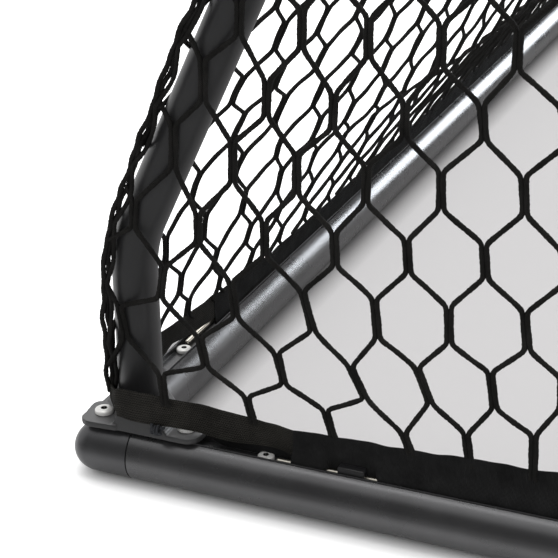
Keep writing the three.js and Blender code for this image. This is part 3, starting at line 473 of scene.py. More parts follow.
ribbed_webbing = cloth(
    "ribbed_webbing", (0.0064, 0.0061, 0.0055), (0.072, 0.068, 0.060), woven_ribs, 0.00040, 0.92,
    Rib=1.7, Thread=1.9, Slant=0.55, Fuzz=1.1
)
soft_webbing = cloth(
    "soft_webbing", (0.0060, 0.0060, 0.0060), (0.046, 0.046, 0.047), woven_ribs, 0.00018, 0.90,
    Rib=1.0, Thread=0.9
)
net_cord = cloth(
    "net_cord", (0.0060, 0.0058, 0.0055), (0.052, 0.050, 0.047), braided_strands, 0.0005, 0.88,
    Pitch=3.6, Strand=2.4
)
tie_cord = cloth(
    "tie_cord", (0.022, 0.023, 0.026), (0.095, 0.100, 0.112), braided_strands, 0.0002, 0.70,
    Pitch=1.8, Strand=1.2
)

# %% [markdown]
# ## Mesh helpers
# Every piece is a mesh that is computed here. `add_piece` turns points and faces into an object,
# keeps soft edges soft, gives it its finish and hangs it on the body that carries it.

# %% Adding a piece
def add_piece(name, points, faces, material, slot, body=FRAME_BODY, stands_for=(), uv=None, sharp=35,
              right_side=False):
    mesh = bpy.data.meshes.new(name)
    if right_side:
        faces = [face[::-1] for face in faces]
    mesh.from_pydata(points, [], faces)
    if uv is not None:
        layer = mesh.uv_layers.new(name="run_and_turn")
        corner = np.zeros(len(mesh.loops), np.int32)
        mesh.loops.foreach_get("vertex_index", corner)
        layer.data.foreach_set("uv", uv(mesh, corner).astype(np.float32).ravel())
    mesh.polygons.foreach_set("use_smooth", np.ones(len(mesh.polygons), bool))
    mesh.set_sharp_from_angle(angle=math.radians(sharp))
    mesh.materials.append(material)
    made = bpy.data.objects.new(name, mesh)
    scene.collection.objects.link(made)
    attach(made, body)
    if stands_for:
        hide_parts(*stands_for)
    return made


def ring_faces(rings, per_ring, closed_ends=True):
    """Quads between rings of points, and one face over each end."""
    faces = []
    for ring in range(rings - 1):
        for k in range(per_ring):
            nxt = (k + 1) % per_ring
            low, high = ring * per_ring, (ring + 1) * per_ring
            faces.append((low + k, low + nxt, high + nxt, high + k))
    if closed_ends:
        faces.append(tuple(range(per_ring - 1, -1, -1)))
        faces.append(tuple(range((rings - 1) * per_ring, rings * per_ring)))
    return faces


def lathe(profile, segments=40):
    """A closed solid of revolution about +Z from (radius, height) pairs, bottom first."""
    angles = np.linspace(0, 2 * math.pi, segments, endpoint=False)
    rings = [[(r * math.cos(a), r * math.sin(a), z) for a in angles] for r, z in profile]
    return np.array(rings).reshape(-1, 3), ring_faces(len(profile), segments)


# %% [markdown]
# ## Slotted bars
# The base, the posts and the crossbar are one aluminium extrusion: a round bar with a shallow net
# groove between two thin lips. It is drawn as a cross-section, and swept along the bar's length.
# The ends are turned in a little, which gives the thin dark joint at each elbow.

# %% The extrusion's cross-section
GROOVE_FLOOR = 18.5
LIP_PROFILE = [
    (10.3, 23.33), (10.05, 23.0), (9.95, 21.9), (9.1, 21.9), (9.0, 23.9), (8.75, 24.35),
    (8.3, 24.35), (8.0, 24.0), (8.0, 18.8), (7.7, 18.5),
]
BAR_SEGMENTS = 88
END_CHAMFER, END_DEPTH = 0.45, 2.4
ELBOW_REACH = 32.6
BAR_START = ELBOW_REACH + FIT


def bar_outline():
    start = math.atan2(LIP_PROFILE[0][0], LIP_PROFILE[0][1])
    angles = np.linspace(start, 2 * math.pi - start, BAR_SEGMENTS)
    round_part = [(BAR_RADIUS * math.sin(a), BAR_RADIUS * math.cos(a)) for a in angles]
    right = LIP_PROFILE[::-1]
    left = [(-y, z) for y, z in LIP_PROFILE]
    return np.array(right + round_part[1:-1] + left)


def slotted_bar(length):
    outline = bar_outline()
    stations = [(0, 1), (END_CHAMFER, 0), (length - END_CHAMFER, 0), (length, 1)]
    rings = []
    for x, turned_in in stations:
        shrunk = outline * (1 - turned_in * END_DEPTH / BAR_RADIUS)
        rings.append(np.column_stack([np.full(len(outline), x), shrunk]))
    return np.concatenate(rings), [face[::-1] for face in ring_faces(len(stations), len(outline))]


SIDE_LENGTH = BASE_DEPTH - 2 * BAR_START
POST_LENGTH = CROSSBAR_HEIGHT - BAR_RADIUS - 2 * BAR_START
ACROSS_LENGTH = GOAL_WIDTH - 2 * BAR_START
bars = [
    ("rear_bar", ACROSS_LENGTH, dict(origin=(0, GOAL_WIDTH - BAR_START, BAR_RADIUS), along=(0, -1, 0)),
     "rear_base_bar", False),
    ("mouth_crossbar", ACROSS_LENGTH, dict(TOP_CORNER, origin=(BASE_DEPTH, BAR_START, CROSSBAR_HEIGHT)),
     "crossbar", False),
]
SIDES = (("left", False), ("right", True))
for side, is_right in SIDES:
    bars.append(("side_bar_" + side, SIDE_LENGTH, dict(origin=(BAR_START, 0, BAR_RADIUS)),
                 "side_base_bar_" + side, is_right))
    post = dict(origin=(BASE_DEPTH, 0, BAR_RADIUS + BAR_START), along=(0, 0, 1), up=(-1, 0, 0))
    bars.append(("mouth_post_" + side, POST_LENGTH, post, "front_post_" + side, is_right))
for name, length, place, cad_name, is_right in bars:
    points, faces = slotted_bar(length)
    add_piece(name, placed(points, right_side=is_right, **place), faces, bar_paint, "bar_paint",
              stands_for=[cad_name], sharp=28, right_side=is_right)
    low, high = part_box(cad_name)
    print(name, "is", length, "mm long; its solid spans", [round(v / MM, 1) for v in high - low])

# %% [markdown]
# ## Corner elbows
# Six cast elbows plug into the bars' ends. Seen from above an elbow is two round legs that meet in
# a mitre, with the outer corner rounded off. The loft below stacks such plans: each layer is an L
# whose half width is that of the round bar at that height.

# %% Elbows
ELBOW_LAYERS, ELBOW_ROUNDING, ELBOW_INNER_ROUNDING = 44, 0.69, 0.16


def arc(cx, cy, radius, start, end, steps):
    angles = np.radians(np.linspace(start, end, steps))
    return [(cx + radius * math.cos(a), cy + radius * math.sin(a)) for a in angles]


def elbow():
    rings = []
    for tilt in np.radians(np.linspace(-87.5, 87.5, ELBOW_LAYERS)):
        half, height = BAR_RADIUS * math.cos(tilt), BAR_RADIUS * math.sin(tilt)
        outer, inner = ELBOW_ROUNDING * half, ELBOW_INNER_ROUNDING * half
        shy, tucked = ELBOW_REACH - END_CHAMFER, half * (1 - END_DEPTH / BAR_RADIUS)
        outline = [(-half, shy)] + arc(outer - half, outer - half, outer, 180, 270, 14)
        outline += [(shy, -half), (ELBOW_REACH, -tucked), (ELBOW_REACH, tucked), (shy, half)]
        outline += arc(half + inner, half + inner, inner, 270, 180, 6)
        outline += [(half, shy), (tucked, ELBOW_REACH), (-tucked, ELBOW_REACH)]
        rings.append([(x, y, height) for x, y in outline])
    return np.array(rings).reshape(-1, 3), ring_faces(ELBOW_LAYERS, len(rings[0]))


elbow_points, elbow_faces = elbow()
for side, is_right in SIDES:
    for name, corner in (
        ("rear_corner", REAR_CORNER), ("front_foot", FOOT_CORNER), ("top_corner", TOP_CORNER),
    ):
        add_piece(f"{name}_elbow_cap_{side}", placed(elbow_points, right_side=is_right, **corner),
                  elbow_faces, elbow_paint, "elbow_paint", stands_for=[f"{name}_elbow_{side}"], sharp=40,
                  right_side=is_right)
print("elbow:", len(elbow_points), "points each")

# %% [markdown]
# ## Corner brackets
# A bracket is a sand-casting: a flat plate on the two bars' lips, and a raised middle that takes
# the upright. Castings have soft edges and blended corners, so the plain blocks are fused with a
# voxel remesh, relaxed a little, and thinned to a sensible number of faces.

# %% The casting's blocks
PLATE_TOP = BAR_RADIUS + 6
PLATE_HALF, PLATE_NARROW, PLATE_REACH, PLATE_TIP = 17, 12, 98.6, 13
CORNER_LOBE = [
    (21, -18.4), (21, 17), (-11.6, 19.2), (-15.6, 16.6), (-17.8, 12.0), (-17.4, 6.0), (-16.3, -3.5),
    (-16.4, -9.5), (-15.6, -13.6), (-12.6, -17.4), (-8.2, -19.6), (-3.0, -20.0), (15, -18.6),
]
RAISED_START, RAISED_END, RAISED_TOP, RAISED_NARROW = 20.5, 66, BAR_RADIUS + 20, 8.5
BEVEL = 16.4
BOSS_RADIUS = 23.5
UPRIGHT_INSET = 25
FILLET = ((0, RAISED_TOP), (1.0, PLATE_TOP + 6.5), (2.2, PLATE_TOP + 3.8), (3.8, PLATE_TOP + 1.8))
CAST_VOXEL, CAST_KEPT = 0.75, 0.30


def prism_into(mesh, outline, low, high):
    bottom = [mesh.verts.new((x, y, low)) for x, y in outline]
    top = [mesh.verts.new((x, y, high)) for x, y in outline]
    mesh.faces.new(bottom[::-1])
    mesh.faces.new(top)
    for k in range(len(outline)):
        nxt = (k + 1) % len(outline)
        mesh.faces.new((bottom[k], bottom[nxt], top[nxt], top[k]))


def leg_outline(low, high, reach, tip):
    ends = arc(reach - tip, low + tip, tip, -90, 0, 10) + arc(reach - tip, high - tip, tip, 0, 90, 10)
    return [(0, low)] + ends + [(0, high)]


def raised_outline(spread):
    """The raised middle's plan; its foot spreads over the plate where the two blend."""
    start, end = RAISED_START - spread, RAISED_END + spread
    return [
        (start, -PLATE_HALF), (end, -PLATE_HALF), (end, PLATE_HALF), (PLATE_HALF, RAISED_END),
        (-RAISED_NARROW, RAISED_END), (-RAISED_NARROW, 33), (-7.4, 28.5), (-4.0 - spread, 20.4),
        (start, BEVEL - RAISED_START - 0.4 * spread),
    ]


def baked(obj, *modifiers):
    """Applies the modifiers and returns the mesh's points and faces."""
    for kind, settings in modifiers:
        modifier = obj.modifiers.new(kind.lower(), kind)
        for key, value in settings.items():
            setattr(modifier, key, value)
    ready = obj.evaluated_get(bpy.context.evaluated_depsgraph_get()).data
    points = np.empty(len(ready.vertices) * 3)
    ready.vertices.foreach_get("co", points)
    faces = [tuple(p.vertices) for p in ready.polygons]
    bpy.data.objects.remove(obj)
    return points.reshape(-1, 3), faces


def casting():
    blocks = bmesh.new()
    first = leg_outline(-PLATE_HALF, PLATE_HALF, PLATE_REACH, PLATE_TIP)
    second = [(y, x) for x, y in leg_outline(-PLATE_NARROW, PLATE_HALF, PLATE_REACH, PLATE_TIP)][::-1]
    boss = arc(UPRIGHT_INSET, UPRIGHT_INSET, BOSS_RADIUS, 0, 351, 40)
    for outline in (first, second, CORNER_LOBE, boss):
        prism_into(blocks, outline, BAR_RADIUS + FIT, PLATE_TOP)
    prism_into(blocks, boss, BAR_RADIUS + 2 * FIT, RAISED_TOP)
    for spread, top in FILLET:
        prism_into(blocks, raised_outline(spread), BAR_RADIUS + 2 * FIT, top)
    mesh = bpy.data.meshes.new("casting")
    blocks.to_mesh(mesh)
    blocks.free()
    rough = bpy.data.objects.new("casting", mesh)
    scene.collection.objects.link(rough)
    return baked(
        rough,
        ("REMESH", dict(mode="VOXEL", voxel_size=CAST_VOXEL)),
        ("SMOOTH", dict(factor=0.5, iterations=6)),
        ("DECIMATE", dict(ratio=CAST_KEPT)),
    )


cast_points, cast_faces = casting()
for side, is_right in SIDES:
    for name, corner in (("rear_corner", REAR_CORNER), ("top_corner", TOP_CORNER)):
        add_piece(name + "_casting_" + side, placed(cast_points, right_side=is_right, **corner), cast_faces,
                  bracket_paint, "bracket_paint", stands_for=[f"{name}_bracket_{side}"], sharp=50,
                  right_side=is_right)
print("casting:", len(cast_faces), "faces")

# %% [markdown]
# ## Bolts and screws
# Zinc-plated button heads with a hexagon key. A head is turned as a profile, and its innermost
# rings have six corners, which makes the key.

# %% Button heads
BOLT_HEAD, BOLT_HEIGHT, BOLT_SHANK, BOLT_REACH, BOLT_OFFSET = 16.8, 4.4, 8, 27, 82
SCREW_HEAD, SCREW_HEIGHT, SCREW_SHANK, SCREW_REACH = 15, 4.0, 6, 14
SCREW_OFFSET, FOOT_SCREW_OFFSET = 157.6, 84
HEAD_SEGMENTS = 48


def button_head(head, height, shank, reach):
    radius, key = head / 2, head * KEY_SHARE
    dome = [(radius * s, height * h) for s, h in (
        (0.97, 0.0), (1.0, 0.08), (1.0, 0.50), (0.98, 0.66), (0.93, 0.80), (0.85, 0.90), (0.74, 0.96),
        (0.58, 0.99), (0.42, 1.0))]
    profile = [(shank * 0.42, -reach), (shank / 2, -reach + 0.8), (shank / 2, 0), *dome]
    points, _ = lathe(profile, HEAD_SEGMENTS)
    angles = np.linspace(0, 2 * math.pi, HEAD_SEGMENTS, endpoint=False)
    flat = np.abs((angles % (math.pi / 3)) - math.pi / 6)
    corner = key * 0.866 / np.cos(flat)
    inner = []
    for share, depth in ((1.06, 1.0), (1.0, 0.93), (0.98, 0.1), (0.5, 0.0)):
        inner.append(np.column_stack([corner * share * np.cos(angles), corner * share * np.sin(angles),
                                      np.full(HEAD_SEGMENTS, height * depth)]))
    rings = len(profile) + len(inner)
    points = np.concatenate([points, *inner])
    share = np.column_stack([np.hypot(points[:, 0], points[:, 1]) / head, points[:, 2]])
    share[(points[:, 2] < 0), 0] = 1
    return points, ring_faces(rings, HEAD_SEGMENTS), share


bolt = button_head(BOLT_HEAD, BOLT_HEIGHT, BOLT_SHANK, BOLT_REACH)
screw = button_head(SCREW_HEAD, SCREW_HEIGHT, SCREW_SHANK, SCREW_REACH)


def fasten(name, cad_name, made, offset, seat, turn, corner, is_right):
    """turn is a matrix from the head's own axes, with Z up its shank, to the corner's axes."""
    points, faces, share = made
    moved = (points + [0, 0, seat]) @ turn.T + np.array(offset)
    add_piece(name, placed(moved, right_side=is_right, **corner), faces, zinc, "zinc_fasteners",
              stands_for=[cad_name], uv=lambda mesh, vertex: share[vertex], sharp=32, right_side=is_right)


NO_TURN = np.eye(3)
TO_FIRST_GROOVE = np.array([(1, 0, 0), (0, 0, 1), (0, -1, 0)], float)
TO_SECOND_GROOVE = np.array([(0, 0, 1), (1, 0, 0), (0, 1, 0)], float)
BOLT_SEAT, SCREW_SEAT = PLATE_TOP + FIT, GROOVE_FLOOR + FIT
for side, is_right in SIDES:
    for name, corner, labels in (
        ("rear", REAR_CORNER, ("corner", "side", "rear")),
        ("top", TOP_CORNER, ("corner", "crossbar", "post")),
    ):
        for label, offset in zip(labels, ((0, 0, 0), (BOLT_OFFSET, 0, 0), (0, BOLT_OFFSET, 0))):
            fasten(f"{name}_{label}_bolt_{side}", f"{name}_bracket_{label}_bolt_{side}", bolt, offset,
                   BOLT_SEAT, NO_TURN, corner, is_right)
    for name, cad_name, offset in (
        ("side_rear_screw_", "side_bar_rear_screw_", (SCREW_OFFSET, 0, 0)),
        ("rear_screw_", "rear_bar_screw_", (0, SCREW_OFFSET, 0)),
    ):
        fasten(name + side, cad_name + side, screw, offset, SCREW_SEAT, NO_TURN, REAR_CORNER, is_right)
    for name, cad_name, offset, turn in (
        ("side_front_screw_", "side_bar_front_screw_", (FOOT_SCREW_OFFSET, 0, 0), TO_FIRST_GROOVE),
        ("post_screw_", "post_foot_screw_", (0, FOOT_SCREW_OFFSET, 0), TO_SECOND_GROOVE),
    ):
        fasten(name + side, cad_name + side, screw, offset, SCREW_SEAT, turn, FOOT_CORNER, is_right)
print("bolts and screws:", 2 * (6 + 4))

# %% [markdown]
# ## Bent uprights and the bar between them
# Each upright is one round tube. It stands on the rear bracket, leans forward above a first bend,
# and turns level at a second one to meet the crossbar's bracket. It is swept along that route,
# with a fine step round the bends.

# %% The uprights' route
UPRIGHT_RADIUS = 20
LEAN = math.radians(25.3)
BEND_HEIGHT, BEND_RADIUS = 217, 125
TOP_HEIGHT = CROSSBAR_HEIGHT - UPRIGHT_INSET
UPRIGHT_FOOT = 2 * BAR_RADIUS + 6 + FIT
UPRIGHT_FRONT = BASE_DEPTH - PLATE_TOP - FIT
BEND_STEPS = 14


def upright_route(offset, start, end, bend_steps=BEND_STEPS, straight_step=0.0):
    """Points (x, z) and directions along the uprights' axis, moved outside it by the offset."""
    lean, foot = math.tan(LEAN), UPRIGHT_INSET - offset
    bend, top = BEND_HEIGHT + offset * math.tan(LEAN / 2), TOP_HEIGHT + offset
    corners = [np.array(c, float) for c in (
        (foot, start), (foot, bend), (foot + (top - bend) * lean, top), (end, top))]
    route = [(corners[0], (corners[1] - corners[0]))]
    for before, corner, after in zip(corners, corners[1:], corners[2:]):
        arrive = (corner - before) / np.linalg.norm(corner - before)
        leave = (after - corner) / np.linalg.norm(after - corner)
        turn = math.acos(np.clip(arrive @ leave, -1, 1))
        radius = BEND_RADIUS + offset
        begin = corner - arrive * radius * math.tan(turn / 2)
        inward = np.array((arrive[1], -arrive[0]))
        centre = begin + inward * radius
        for angle in np.linspace(0, turn, bend_steps + 1):
            c, s = math.cos(angle), math.sin(angle)
            spin = np.array([(c, s), (-s, c)])
            route.append((centre + spin @ (begin - centre), spin @ arrive))
    route.append((corners[-1], corners[-1] - corners[-2]))
    points = [route[0]]
    for place, heading in route[1:]:
        gap = np.linalg.norm(place - points[-1][0])
        pieces = max(1, int(gap / straight_step)) if straight_step else 1
        last = points[-1][0]
        for k in range(1, pieces + 1):
            points.append((last + (place - last) * k / pieces, heading if k == pieces else place - last))
    return (np.array([p for p, _ in points]),
            np.array([h / np.linalg.norm(h) for _, h in points]))


def tube_along(path, headings, radius, segments, sideways=(0, 1, 0)):
    """A round tube in 3-D; sideways is a direction that no heading runs along."""
    angles = np.linspace(0, 2 * math.pi, segments, endpoint=False)
    side = np.cross(headings, sideways)
    side /= np.linalg.norm(side, axis=1)[:, None]
    up = np.cross(side, headings)
    rings = (path[:, None] + radius * (np.cos(angles)[None, :, None] * side[:, None]
                                       + np.sin(angles)[None, :, None] * up[:, None]))
    return rings.reshape(-1, 3), [f[::-1] for f in ring_faces(len(path), segments)]


def facing_out(points, faces):
    """Faces turned so that the closed mesh encloses a positive volume."""
    a = np.array([points[f[0]] for f in faces])
    b = np.array([points[f[1]] for f in faces])
    c = np.array([points[f[2]] for f in faces])
    centre = points.mean(0)
    volume = np.einsum("ij,ij->i", a - centre, np.cross(b - centre, c - centre)).sum()
    return faces if volume > 0 else [f[::-1] for f in faces]


axis_points, axis_headings = upright_route(0, UPRIGHT_FOOT, UPRIGHT_FRONT)
path = np.column_stack([axis_points[:, 0], np.full(len(axis_points), UPRIGHT_INSET), axis_points[:, 1]])
headings = np.column_stack([axis_headings[:, 0], np.zeros(len(axis_points)), axis_headings[:, 1]])
points, faces = tube_along(path, headings, UPRIGHT_RADIUS, 56)
faces = facing_out(points, faces)
for side, is_right in SIDES:
    add_piece("leaning_upright_" + side, placed(points, right_side=is_right), faces, tube_paint, "tube_paint",
              stands_for=["rear_upright_" + side], sharp=30, right_side=is_right)
print("uprights:", len(axis_points), "rings each")

# %% The bar between the uprights
TOP_BAR_RADIUS = 16
bend = math.pi / 2 - LEAN
shoulder = np.array((UPRIGHT_INSET + (TOP_HEIGHT - BEND_HEIGHT) * math.tan(LEAN), TOP_HEIGHT))
pull = BEND_RADIUS * (1 / math.cos(bend / 2) - 1)
bar_x, bar_z = shoulder + pull * np.array((math.sin(bend / 2), -math.cos(bend / 2)))
clear = UPRIGHT_INSET + UPRIGHT_RADIUS + FIT
span = [clear, clear + 1.5, GOAL_WIDTH - clear - 1.5, GOAL_WIDTH - clear]
grow = [TOP_BAR_RADIUS - 1, TOP_BAR_RADIUS, TOP_BAR_RADIUS, TOP_BAR_RADIUS - 1]
angles = np.linspace(0, 2 * math.pi, 48, endpoint=False)
points = np.array([[(bar_x + r * math.sin(a), y, bar_z + r * math.cos(a)) for a in angles]
                   for y, r in zip(span, grow)]).reshape(-1, 3)
add_piece("rear_tie_bar", placed(points), facing_out(points, ring_faces(4, 48)), tube_paint, "tube_paint",
          stands_for=["rear_top_bar"], sharp=30)
print("bar between the uprights at", round(bar_x, 1), round(bar_z, 1))

# %% [markdown]
# ## Net rods and their clips
# A bright steel rod lies in each groove and holds the net's edge down. Small moulded saddles snap
# over the rod. They slide along it, so each one rides on its own body.

# %% Rods
ROD_RADIUS, ROD_SIDE = 2.5, -3
ROD_LEVEL = GROOVE_FLOOR + FIT + ROD_RADIUS
ROD_START, ROD_FRONT_START = 169.5, 105


def rod(start, end):
    stations = [(start, 0.55), (start + 0.4, 0.85), (start + 1.1, 1),
                (end - 1.1, 1), (end - 0.4, 0.85), (end, 0.55)]
    angles = np.linspace(0, 2 * math.pi, 24, endpoint=False)
    rings = [[(x, ROD_SIDE + ROD_RADIUS * s * math.cos(a), ROD_LEVEL + ROD_RADIUS * s * math.sin(a))
              for a in angles] for x, s in stations]
    return np.array(rings).reshape(-1, 3), ring_faces(len(stations), 24)


REAR_ALONG = dict(origin=(0, GOAL_WIDTH, BAR_RADIUS), along=(0, -1, 0))
POST_ALONG = dict(origin=(BASE_DEPTH, 0, BAR_RADIUS), along=(0, 0, 1), up=(-1, 0, 0))
rods = [
    ("rear_rod", "rear_net_rod", ROD_START, GOAL_WIDTH - ROD_START, REAR_ALONG, False),
    ("crossbar_rod", "crossbar_net_rod", ROD_FRONT_START, GOAL_WIDTH - ROD_FRONT_START, TOP_CORNER, False),
]
for side, is_right in SIDES:
    rods.append(("side_rod_" + side, "side_net_rod_" + side, ROD_START, BASE_DEPTH - ROD_FRONT_START,
                 REAR_CORNER, is_right))
    rods.append(("post_rod_" + side, "post_net_rod_" + side, ROD_FRONT_START,
                 CROSSBAR_HEIGHT - BAR_RADIUS - ROD_FRONT_START, POST_ALONG, is_right))
for name, cad_name, start, end, place, is_right in rods:
    points, faces = rod(start, end)
    add_piece(name, placed(points, right_side=is_right, **place), facing_out(points, faces), rod_steel,
              "net_rod_steel", stands_for=[cad_name], right_side=is_right)
print("rods:", len(rods))

# %% Saddle clips
CLIP_LENGTH, CLIP_INNER, CLIP_OUTER = 24, ROD_RADIUS + FIT, ROD_RADIUS + FIT + 1.3
CLIP_CROWN, CLIP_ROUNDING = CLIP_INNER + 5.2, 1.2
CLIP_FOOT = GROOVE_FLOOR + FIT - ROD_LEVEL


def saddle():
    """The section is a flat crown on two legs; it narrows a little at both ends, like a moulding."""
    side, top = CLIP_OUTER - CLIP_ROUNDING, CLIP_CROWN - CLIP_ROUNDING
    outer = [(CLIP_OUTER, CLIP_FOOT), *arc(side, top, CLIP_ROUNDING, 0, 90, 7), (0, CLIP_CROWN + 0.15),
             *arc(-side, top, CLIP_ROUNDING, 90, 180, 7), (-CLIP_OUTER, CLIP_FOOT)]
    inner = [(-CLIP_INNER, CLIP_FOOT), *arc(0, 0, CLIP_INNER, 180, 0, 16), (CLIP_INNER, CLIP_FOOT)]
    section = np.array(outer + inner)
    rings = []
    for x, tuck in ((-1, 0.12), (-0.97, 0.05), (-0.9, 0.0), (0.9, 0.0), (0.97, 0.05), (1, 0.12)):
        moved = section.copy()
        rim = np.hypot(*section.T) > CLIP_INNER + 0.5
        moved[rim] *= 1 - tuck
        rings.append([(x * CLIP_LENGTH / 2, ROD_SIDE + y, ROD_LEVEL + z) for y, z in moved])
    return np.array(rings).reshape(-1, 3), ring_faces(len(rings), len(section))


saddle_points, saddle_faces = saddle()
saddle_faces = facing_out(saddle_points, saddle_faces)
SIDE_CLIP, REAR_CLIP, POST_CLIP, CROSSBAR_CLIP = 238.5, 601, 620, 470
for side, is_right in SIDES:
    for name, place in (
        ("side_rod_clip_", dict(REAR_CORNER, origin=(SIDE_CLIP, 0, BAR_RADIUS))),
        ("rear_rod_clip_", dict(REAR_ALONG, origin=(0, REAR_CLIP, BAR_RADIUS))),
        ("post_rod_clip_", dict(POST_ALONG, origin=(BASE_DEPTH, 0, POST_CLIP))),
        ("crossbar_rod_clip_", dict(TOP_CORNER, origin=(BASE_DEPTH, CROSSBAR_CLIP, CROSSBAR_HEIGHT))),
    ):
        add_piece(name + "saddle_" + side, placed(saddle_points, right_side=is_right, **place), saddle_faces,
                  clip_plastic, "clip_plastic", body=name + side, stands_for=[name + side], sharp=40,
                  right_side=is_right)
low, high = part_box("side_rod_clip_left")
print("clips are", [round(v / MM, 1) for v in high - low], "mm")

# %% [markdown]
# ## The webbing sewn round the net's lower edge
# Strong tape is folded over the net's edge and sewn. It runs in the groove of the side and rear
# bars, and at each rear corner it leaves the groove and wraps round the bracket's raised middle.
# The stations below give its route, in plan, with the height of its lower and upper edge. A blur
# along the route rounds the turns, and slow waves give it the slack of a real tape.

# %% Routes and skins
def run_along(points):
    """How far along a polyline each of its points lies."""
    return np.concatenate([[0], np.cumsum(np.linalg.norm(np.diff(points, axis=0), axis=1))])


def heading_along(points):
    heading = np.gradient(points, axis=0)
    return heading / np.linalg.norm(heading, axis=1)[:, None]


def flowing(points, step, blur):
    """Evenly spaced points along a polyline, with its corners rounded by a blur of that width."""
    points = np.asarray(points, float)
    at = run_along(points)
    even = np.linspace(0, at[-1], max(4, int(at[-1] / step) + 1))
    line = np.column_stack([np.interp(even, at, column) for column in points.T])
    reach = min(int(3 * blur / step), len(line) - 2)
    if reach < 1:
        return line
    kernel = np.exp(-0.5 * (np.arange(-reach, reach + 1) * step / blur) ** 2)
    before = 2 * line[:1] - line[reach:0:-1]
    after = 2 * line[-1:] - line[-2:-reach - 2:-1]
    longer = np.concatenate([before, line, after])
    return np.column_stack([np.convolve(column, kernel / kernel.sum(), "valid") for column in longer.T])


def skin(rings, run, around):
    """Quads over closed rings and over both ends, with UVs in millimetres. Rings are n x m x 3."""
    n, m = rings.shape[:2]
    i, k = (grid.ravel() for grid in np.meshgrid(np.arange(n - 1), np.arange(m), indexing="ij"))
    nxt = (k + 1) % m
    sides = np.column_stack([i * m + k, i * m + nxt, (i + 1) * m + nxt, (i + 1) * m + k])
    uv = np.stack([
        np.column_stack([run[i], around[k]]), np.column_stack([run[i], around[k + 1]]),
        np.column_stack([run[i + 1], around[k + 1]]), np.column_stack([run[i + 1], around[k]]),
    ], axis=1)
    k = np.arange(m // 2 - 1)
    first = np.column_stack([m - 1 - k, m - 2 - k, k + 1, k])
    last = (n - 1) * m + first[:, ::-1]
    ends = np.concatenate([first, last])
    end_uv = np.zeros((len(ends), 4, 2))
    end_uv[:, :, 1] = around[ends % m]
    return rings.reshape(-1, 3), np.concatenate([sides, ends]), np.concatenate([uv, end_uv])


def joined(skins):
    points, faces, uvs, count = [], [], [], 0
    for p, f, uv in skins:
        points.append(p)
        faces.append(f + count)
        uvs.append(uv)
        count += len(p)
    points, faces, uvs = np.concatenate(points), np.concatenate(faces), np.concatenate(uvs)
    a, b, c, d = (points[faces[:, k]] for k in range(4))
    volume = np.einsum("ij,ij->i", a, np.cross(b, c)).sum() + np.einsum("ij,ij->i", a, np.cross(c, d)).sum()
    return (points, faces, uvs) if volume > 0 else (points, faces[:, ::-1], uvs[:, ::-1])


def add_skin(name, made, material, slot, right_side=False, **settings):
    points, faces, uvs = made
    if right_side:
        uvs = uvs[:, ::-1]
    return add_piece(name, placed(points, right_side=right_side), faces.tolist(), material, slot,
                     uv=lambda mesh, corner: uvs.reshape(-1, 2), right_side=right_side, **settings)


# %% A band of tape
TAPE_THICKNESS, TAPE_ROWS, TAPE_STEP, TAPE_BLUR = 1.8, 15, 2.5, 4.0


def waves(at, seed, lengths, heights):
    """A smooth made-up curve: a few sines of seeded phase."""
    chance = np.random.default_rng(seed)
    total = np.zeros_like(at)
    for length, height in zip(lengths, heights):
        total += height * np.sin(2 * math.pi * (at / length + chance.random()))
    return total


def tape(stations, seed, slack=1.0, edge=0.5, tuck=None):
    """tuck(run, level) moves the tape sideways, as where its foot goes round a rod."""
    line = flowing(stations, TAPE_STEP, TAPE_BLUR)
    plan, low, high = line[:, :2], line[:, 2], line[:, 3]
    heading = heading_along(plan)
    out = np.column_stack([-heading[:, 1], heading[:, 0]])
    run = run_along(plan)
    high = high + edge * waves(run, seed, (41, 97, 23), (0.6, 0.7, 0.25))
    share = np.linspace(0.012, 0.985, TAPE_ROWS)
    section = [(0.0, -0.5)] + [(s, -1.0) for s in share] + [(1.0, -0.45)]
    section += [(1.0, 0.45)] + [(s, 1.0) for s in share[::-1]] + [(0.0, 0.5)]
    section = np.array(section)
    rings = np.empty((len(line), len(section), 3))
    for k, (level, offset) in enumerate(section):
        bulge = slack * (level * waves(run + 14 * level, seed + 1, (63, 31, 140), (0.30, 0.14, 0.35))
                         + level * (1 - level) * waves(run - 25 * level, seed + 2, (47, 19), (0.9, 0.4)))
        if tuck is not None:
            bulge = bulge + tuck(run, low + (high - low) * level)
        rings[:, k, :2] = plan + out * (offset * TAPE_THICKNESS / 2 + bulge)[:, None]
        rings[:, k, 2] = low + (high - low) * level
    tall = float((high - low).mean())
    spots = np.concatenate([section[:, 0] * tall, [0]])
    around = np.where(np.arange(len(spots)) < len(section) / 2, spots, 2 * tall - spots)
    around[-1] = 2 * tall
    return joined([skin(rings, run, around)]), run[-1], tall


# %% Where the webbing runs
CORNER_WEBBING = [
    (184, 2.6, 50.6, 75.4), (174, 2.6, 54.2, 76.4), (165, 2.6, 55.6, 78.8), (152, 2.6, 55.0, 79.2),
    (141, 2.5, 53.9, 79.8), (128, 2.3, 52.3, 80.6), (114, 2.0, 53.0, 81.6), (105, 0.6, 54.4, 83.0),
    (97, -3.4, 58.8, 86.2), (84, -10.2, 62.6, 90.4),
    (71, -17.2, 66.6, 95.0), (56, -18.5, 65.8, 95.8), (36, -18.5, 65.6, 95.6), (25, -18.4, 68.0, 95.0),
    (19.5, -14.0, 64.0, 90.0), (16.0, -6.0, 61.5, 85.6), (5.0, 8.0, 62.5, 80.4), (-3.0, 17.4, 63.6, 78.6),
    (-8.0, 27.5, 63.4, 80.0), (-9.6, 40, 62.8, 83.0), (-9.6, 66, 62.6, 85.0), (-4.0, 88, 61.0, 86.6),
    (1.6, 104, 58.6, 87.4), (2.4, 128, 66.5, 85.6), (2.6, 150, 61.5, 82.8), (2.6, 184, 56.4, 79.4),
    (2.6, 228, 52.0, 78.0),
]
